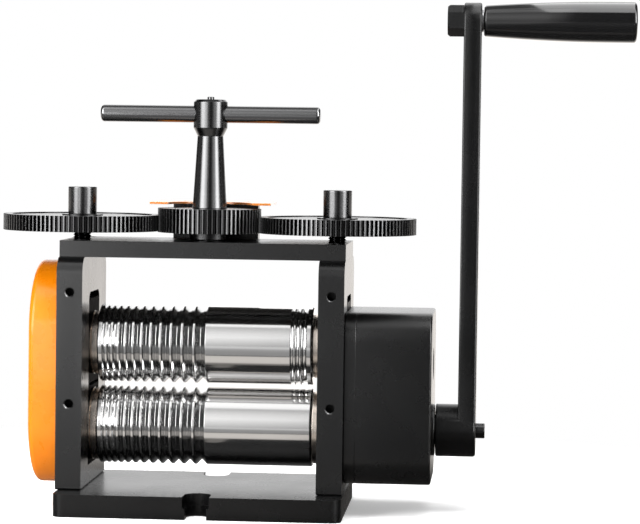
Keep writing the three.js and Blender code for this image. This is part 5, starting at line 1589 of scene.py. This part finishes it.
def studio_walls(wiring, strength):
    """Brightness of the studio in each direction, as polished metal mirrors it."""
    ray = wiring.node("ShaderNodeTexCoord").outputs["Generated"]
    axes = wiring.axes(ray)
    maths = wiring.maths
    rise = maths("ARCSINE", axes[2])
    turn = maths("ARCTAN2", axes[0], maths("MULTIPLY", axes[1], -1.0))

    def band(value, low, high, soft):
        low, high, soft = (math.radians(a) for a in (low, high, soft))
        rising = wiring.smooth_range(value, low - soft, low + soft)
        falling = wiring.smooth_range(value, high - soft, high + soft, 1.0, 0.0)
        return maths("MULTIPLY", rising, falling)

    climb = maths(
        "MULTIPLY",
        wiring.smooth_range(rise, math.radians(-60), math.radians(5), 0.3, 1.0),
        wiring.smooth_range(rise, math.radians(18), math.radians(80), 1.0, 0.1),
    )
    height = wiring.node("ShaderNodeValToRGB", {0: maths("MULTIPLY_ADD", rise, 1 / math.pi, 0.5)})
    ramp = height.color_ramp
    for i, (degrees, level) in enumerate(SOFTBOX):
        element = ramp.elements[i] if i < 2 else ramp.elements.new(1.0)
        element.position = degrees / 180 + 0.5
        element.color = rgba((level / 2,) * 3)
    softbox = maths("MULTIPLY", height.outputs[0], 2.0)
    leftwards = wiring.smooth_range(turn, math.radians(-26), math.radians(-12), 1.7, 1.0)
    sides = maths("ABSOLUTE", turn)
    parts = [
        (maths("MULTIPLY", band(turn, -30, -3.2, 1.5), maths("MULTIPLY", softbox, leftwards)), 1.0),
        (band(turn, -2.5, 40, 3), 0.1),  # dark wall right of the camera
        (maths("MULTIPLY", band(turn, -61, -30, 8), climb), 12.0),  # strip lights
        (maths("MULTIPLY", band(turn, 49, 73, 7), climb), 12.5),
        (maths("MULTIPLY", band(turn, 26, 49, 12), climb), 2.2),
        (band(sides, 76, 112, 6), 0.3),  # side walls
        (band(sides, 112, 150, 8), 0.05),
        (maths("MULTIPLY", band(sides, 150, 200, 6), band(rise, -90, 52, 8)), 1.5),  # backdrop
        (maths("MULTIPLY", band(rise, 57, 77, 3), band(turn, -30, -3.2, 1.5)), 1.1),  # light overhead
        (band(rise, 60, 100, 6), 0.25),
    ]
    total = None
    for mask, level in parts:
        term = maths("MULTIPLY", mask, level)
        total = term if total is None else maths("ADD", total, term)
    return maths("MULTIPLY", total, strength)


def stage_world():
    """World that lights the mill softly, is mirrored as a studio and is seen as white."""
    world = bpy.data.worlds.new("Studio")
    world.use_nodes = True
    bpy.context.scene.world = world
    wiring = Wiring(world.node_tree)
    world.node_tree.nodes.clear()
    path = wiring.node("ShaderNodeLightPath").outputs
    walls = studio_walls(wiring, settings("mill_stage").studio)
    plain, mirrored, seen = (
        wiring.node("ShaderNodeBackground", {"Color": WHITE, "Strength": strength}).outputs[0]
        for strength in (0.25, walls, 1.0)
    )
    first = wiring.shader_mix(path["Is Glossy Ray"], plain, mirrored)
    second = wiring.shader_mix(path["Is Camera Ray"], first, seen)
    wiring.node("ShaderNodeOutputWorld", {"Surface": second})


def floor_material():
    """Pale floor that fades into the white background; for reflections it glows as painted light, a greyer
    table with painted shade under the mill and to its right.
    """
    material, wiring, shader, place = new_material("pale_floor", Roughness=0.7)
    shader.inputs["Base Color"].default_value = rgba(settings("mill_stage").floor)
    maths = wiring.maths
    axes = wiring.axes(place)
    far = wiring.smooth_range(axes[1], -1.3, -0.24, 0.75, 0.33)
    # Painted shade: under the mill, past y -0.09 m, the glow drops low
    near = wiring.smooth_range(axes[1], -0.11, -0.09, 0.72, 0.2)
    step = wiring.smooth_range(axes[1], -0.205, -0.195)
    level = maths("MULTIPLY_ADD", step, maths("SUBTRACT", near, far), far)
    line_starts = wiring.smooth_range(axes[1], -0.225, -0.217)
    line_ends = wiring.smooth_range(axes[1], -0.206, -0.198, 1.0, 0.0)
    line = maths("MULTIPLY", line_starts, line_ends)
    level = maths("MULTIPLY", level, maths("MULTIPLY_ADD", line, -0.7, 1.0))
    behind = wiring.smooth_range(axes[1], 0.12, 0.5)
    # Painted shade: the glow darkens towards +X, past x 0.03 m
    level = maths("MULTIPLY", level, wiring.smooth_range(axes[0], 0.03, 0.14, 1.05, 0.3))
    level = maths("MULTIPLY_ADD", behind, maths("SUBTRACT", 1.8, level), level)
    warm = wiring.mixed(step, WHITE, (1, 0.95, 0.9, 1))
    # Metal mirrors this painted light: the floor glows so for glossy rays only
    mirrored = wiring.emission(warm, level)
    lift = wiring.emission(WHITE, 0.35)
    lit = wiring.node("ShaderNodeAddShader", {0: shader.outputs[0], 1: lift}).outputs[0]
    fade = wiring.smooth_range(wiring.vector("LENGTH", place), 0.3, 0.5)
    shown = wiring.shader_mix(fade, lit, wiring.emission(WHITE, 1.0))
    path = wiring.node("ShaderNodeLightPath").outputs
    seen = wiring.shader_mix(path["Is Camera Ray"], shader.outputs[0], shown)
    output = next(n for n in material.node_tree.nodes if n.type == "OUTPUT_MATERIAL")
    wiring.connect(output.inputs["Surface"], wiring.shader_mix(path["Is Glossy Ray"], seen, mirrored))
    return material


class MILL_OT_stage(PieceOperator):
    """Camera, lamps, studio and floor."""

    bl_idname = "mill.stage"
    bl_label = "Stage"

    def build(self):
        scene = bpy.context.scene
        camera = linked("Camera", bpy.data.cameras.new("Camera"))
        camera.data.lens = CAMERA_LENS
        camera.data.sensor_width = 36
        camera.matrix_world = Matrix.Translation(CAMERA_PLACE) @ camera_turn()
        scene.camera = camera
        scene.view_settings.view_transform = "Standard"
        stage = settings("mill_stage")
        lamp("Overhead", (0.0, -0.1, 1.3), (0.05, 0, 0.15), 1.4, 1.1, stage.key_power)
        lamp("Front left", (-0.5, -0.55, 0.4), (-0.08, 0, 0.12), 0.35, 0.35, stage.fill_power)
        small, large = stage.panel_power * 0.56, stage.panel_power * 0.72
        lamp("Over the crank", (0.285, 0.02, 0.68), (0.285, 0.02, 0), 0.18, 0.58, small, True)
        lamp("Left panel", (-0.36, -0.9, 0.19), (-0.36, 0, 0.19), 0.24, 0.5, large, True)
        stage_world()
        bm = bmesh.new()
        bmesh.ops.create_grid(bm, x_segments=1, y_segments=1, size=6000)
        floor = linked("floor", as_mesh("floor", bm, at=(0, 0, -0.2), material=floor_material()))


OPERATORS = (
    MILL_OT_base,
    MILL_OT_uprights,
    MILL_OT_top_plate,
    MILL_OT_bearings,
    MILL_OT_rolls,
    MILL_OT_left_cover,
    MILL_OT_gearbox,
    MILL_OT_gear_train,
    MILL_OT_adjusters,
    MILL_OT_tee_handle,
    MILL_OT_guard,
    MILL_OT_crank,
    MILL_OT_grip,
    MILL_OT_stage,
)


class MILL_PT_panel(Panel):
    """Lists the pieces of the mill."""

    bl_label = "Rolling Mill"
    bl_idname = "MILL_PT_panel"
    bl_space_type = "VIEW_3D"
    bl_region_type = "UI"
    bl_category = "Rolling Mill"

    def draw(self, context):
        for operator in OPERATORS:
            self.layout.operator(operator.bl_idname)
        for group in GROUPS:
            values = getattr(context.scene, group)
            box = self.layout.box()
            for key in values.__annotations__:
                box.prop(values, key)


def register():
    for cls in (*GROUPS.values(), *OPERATORS, MILL_PT_panel):
        bpy.utils.register_class(cls)
    for name, cls in GROUPS.items():
        setattr(bpy.types.Scene, name, PointerProperty(type=cls))


def unregister():
    for name in GROUPS:
        delattr(bpy.types.Scene, name)
    for cls in (MILL_PT_panel, *reversed(OPERATORS), *GROUPS.values()):
        bpy.utils.unregister_class(cls)


def main():
    register()
    for operator in OPERATORS:
        _, name = operator.bl_idname.split(".")
        if getattr(bpy.ops.mill, name)() != {"FINISHED"}:
            raise RuntimeError(f"{operator.bl_label} could not be built")


if __name__ == "__main__":
    main()
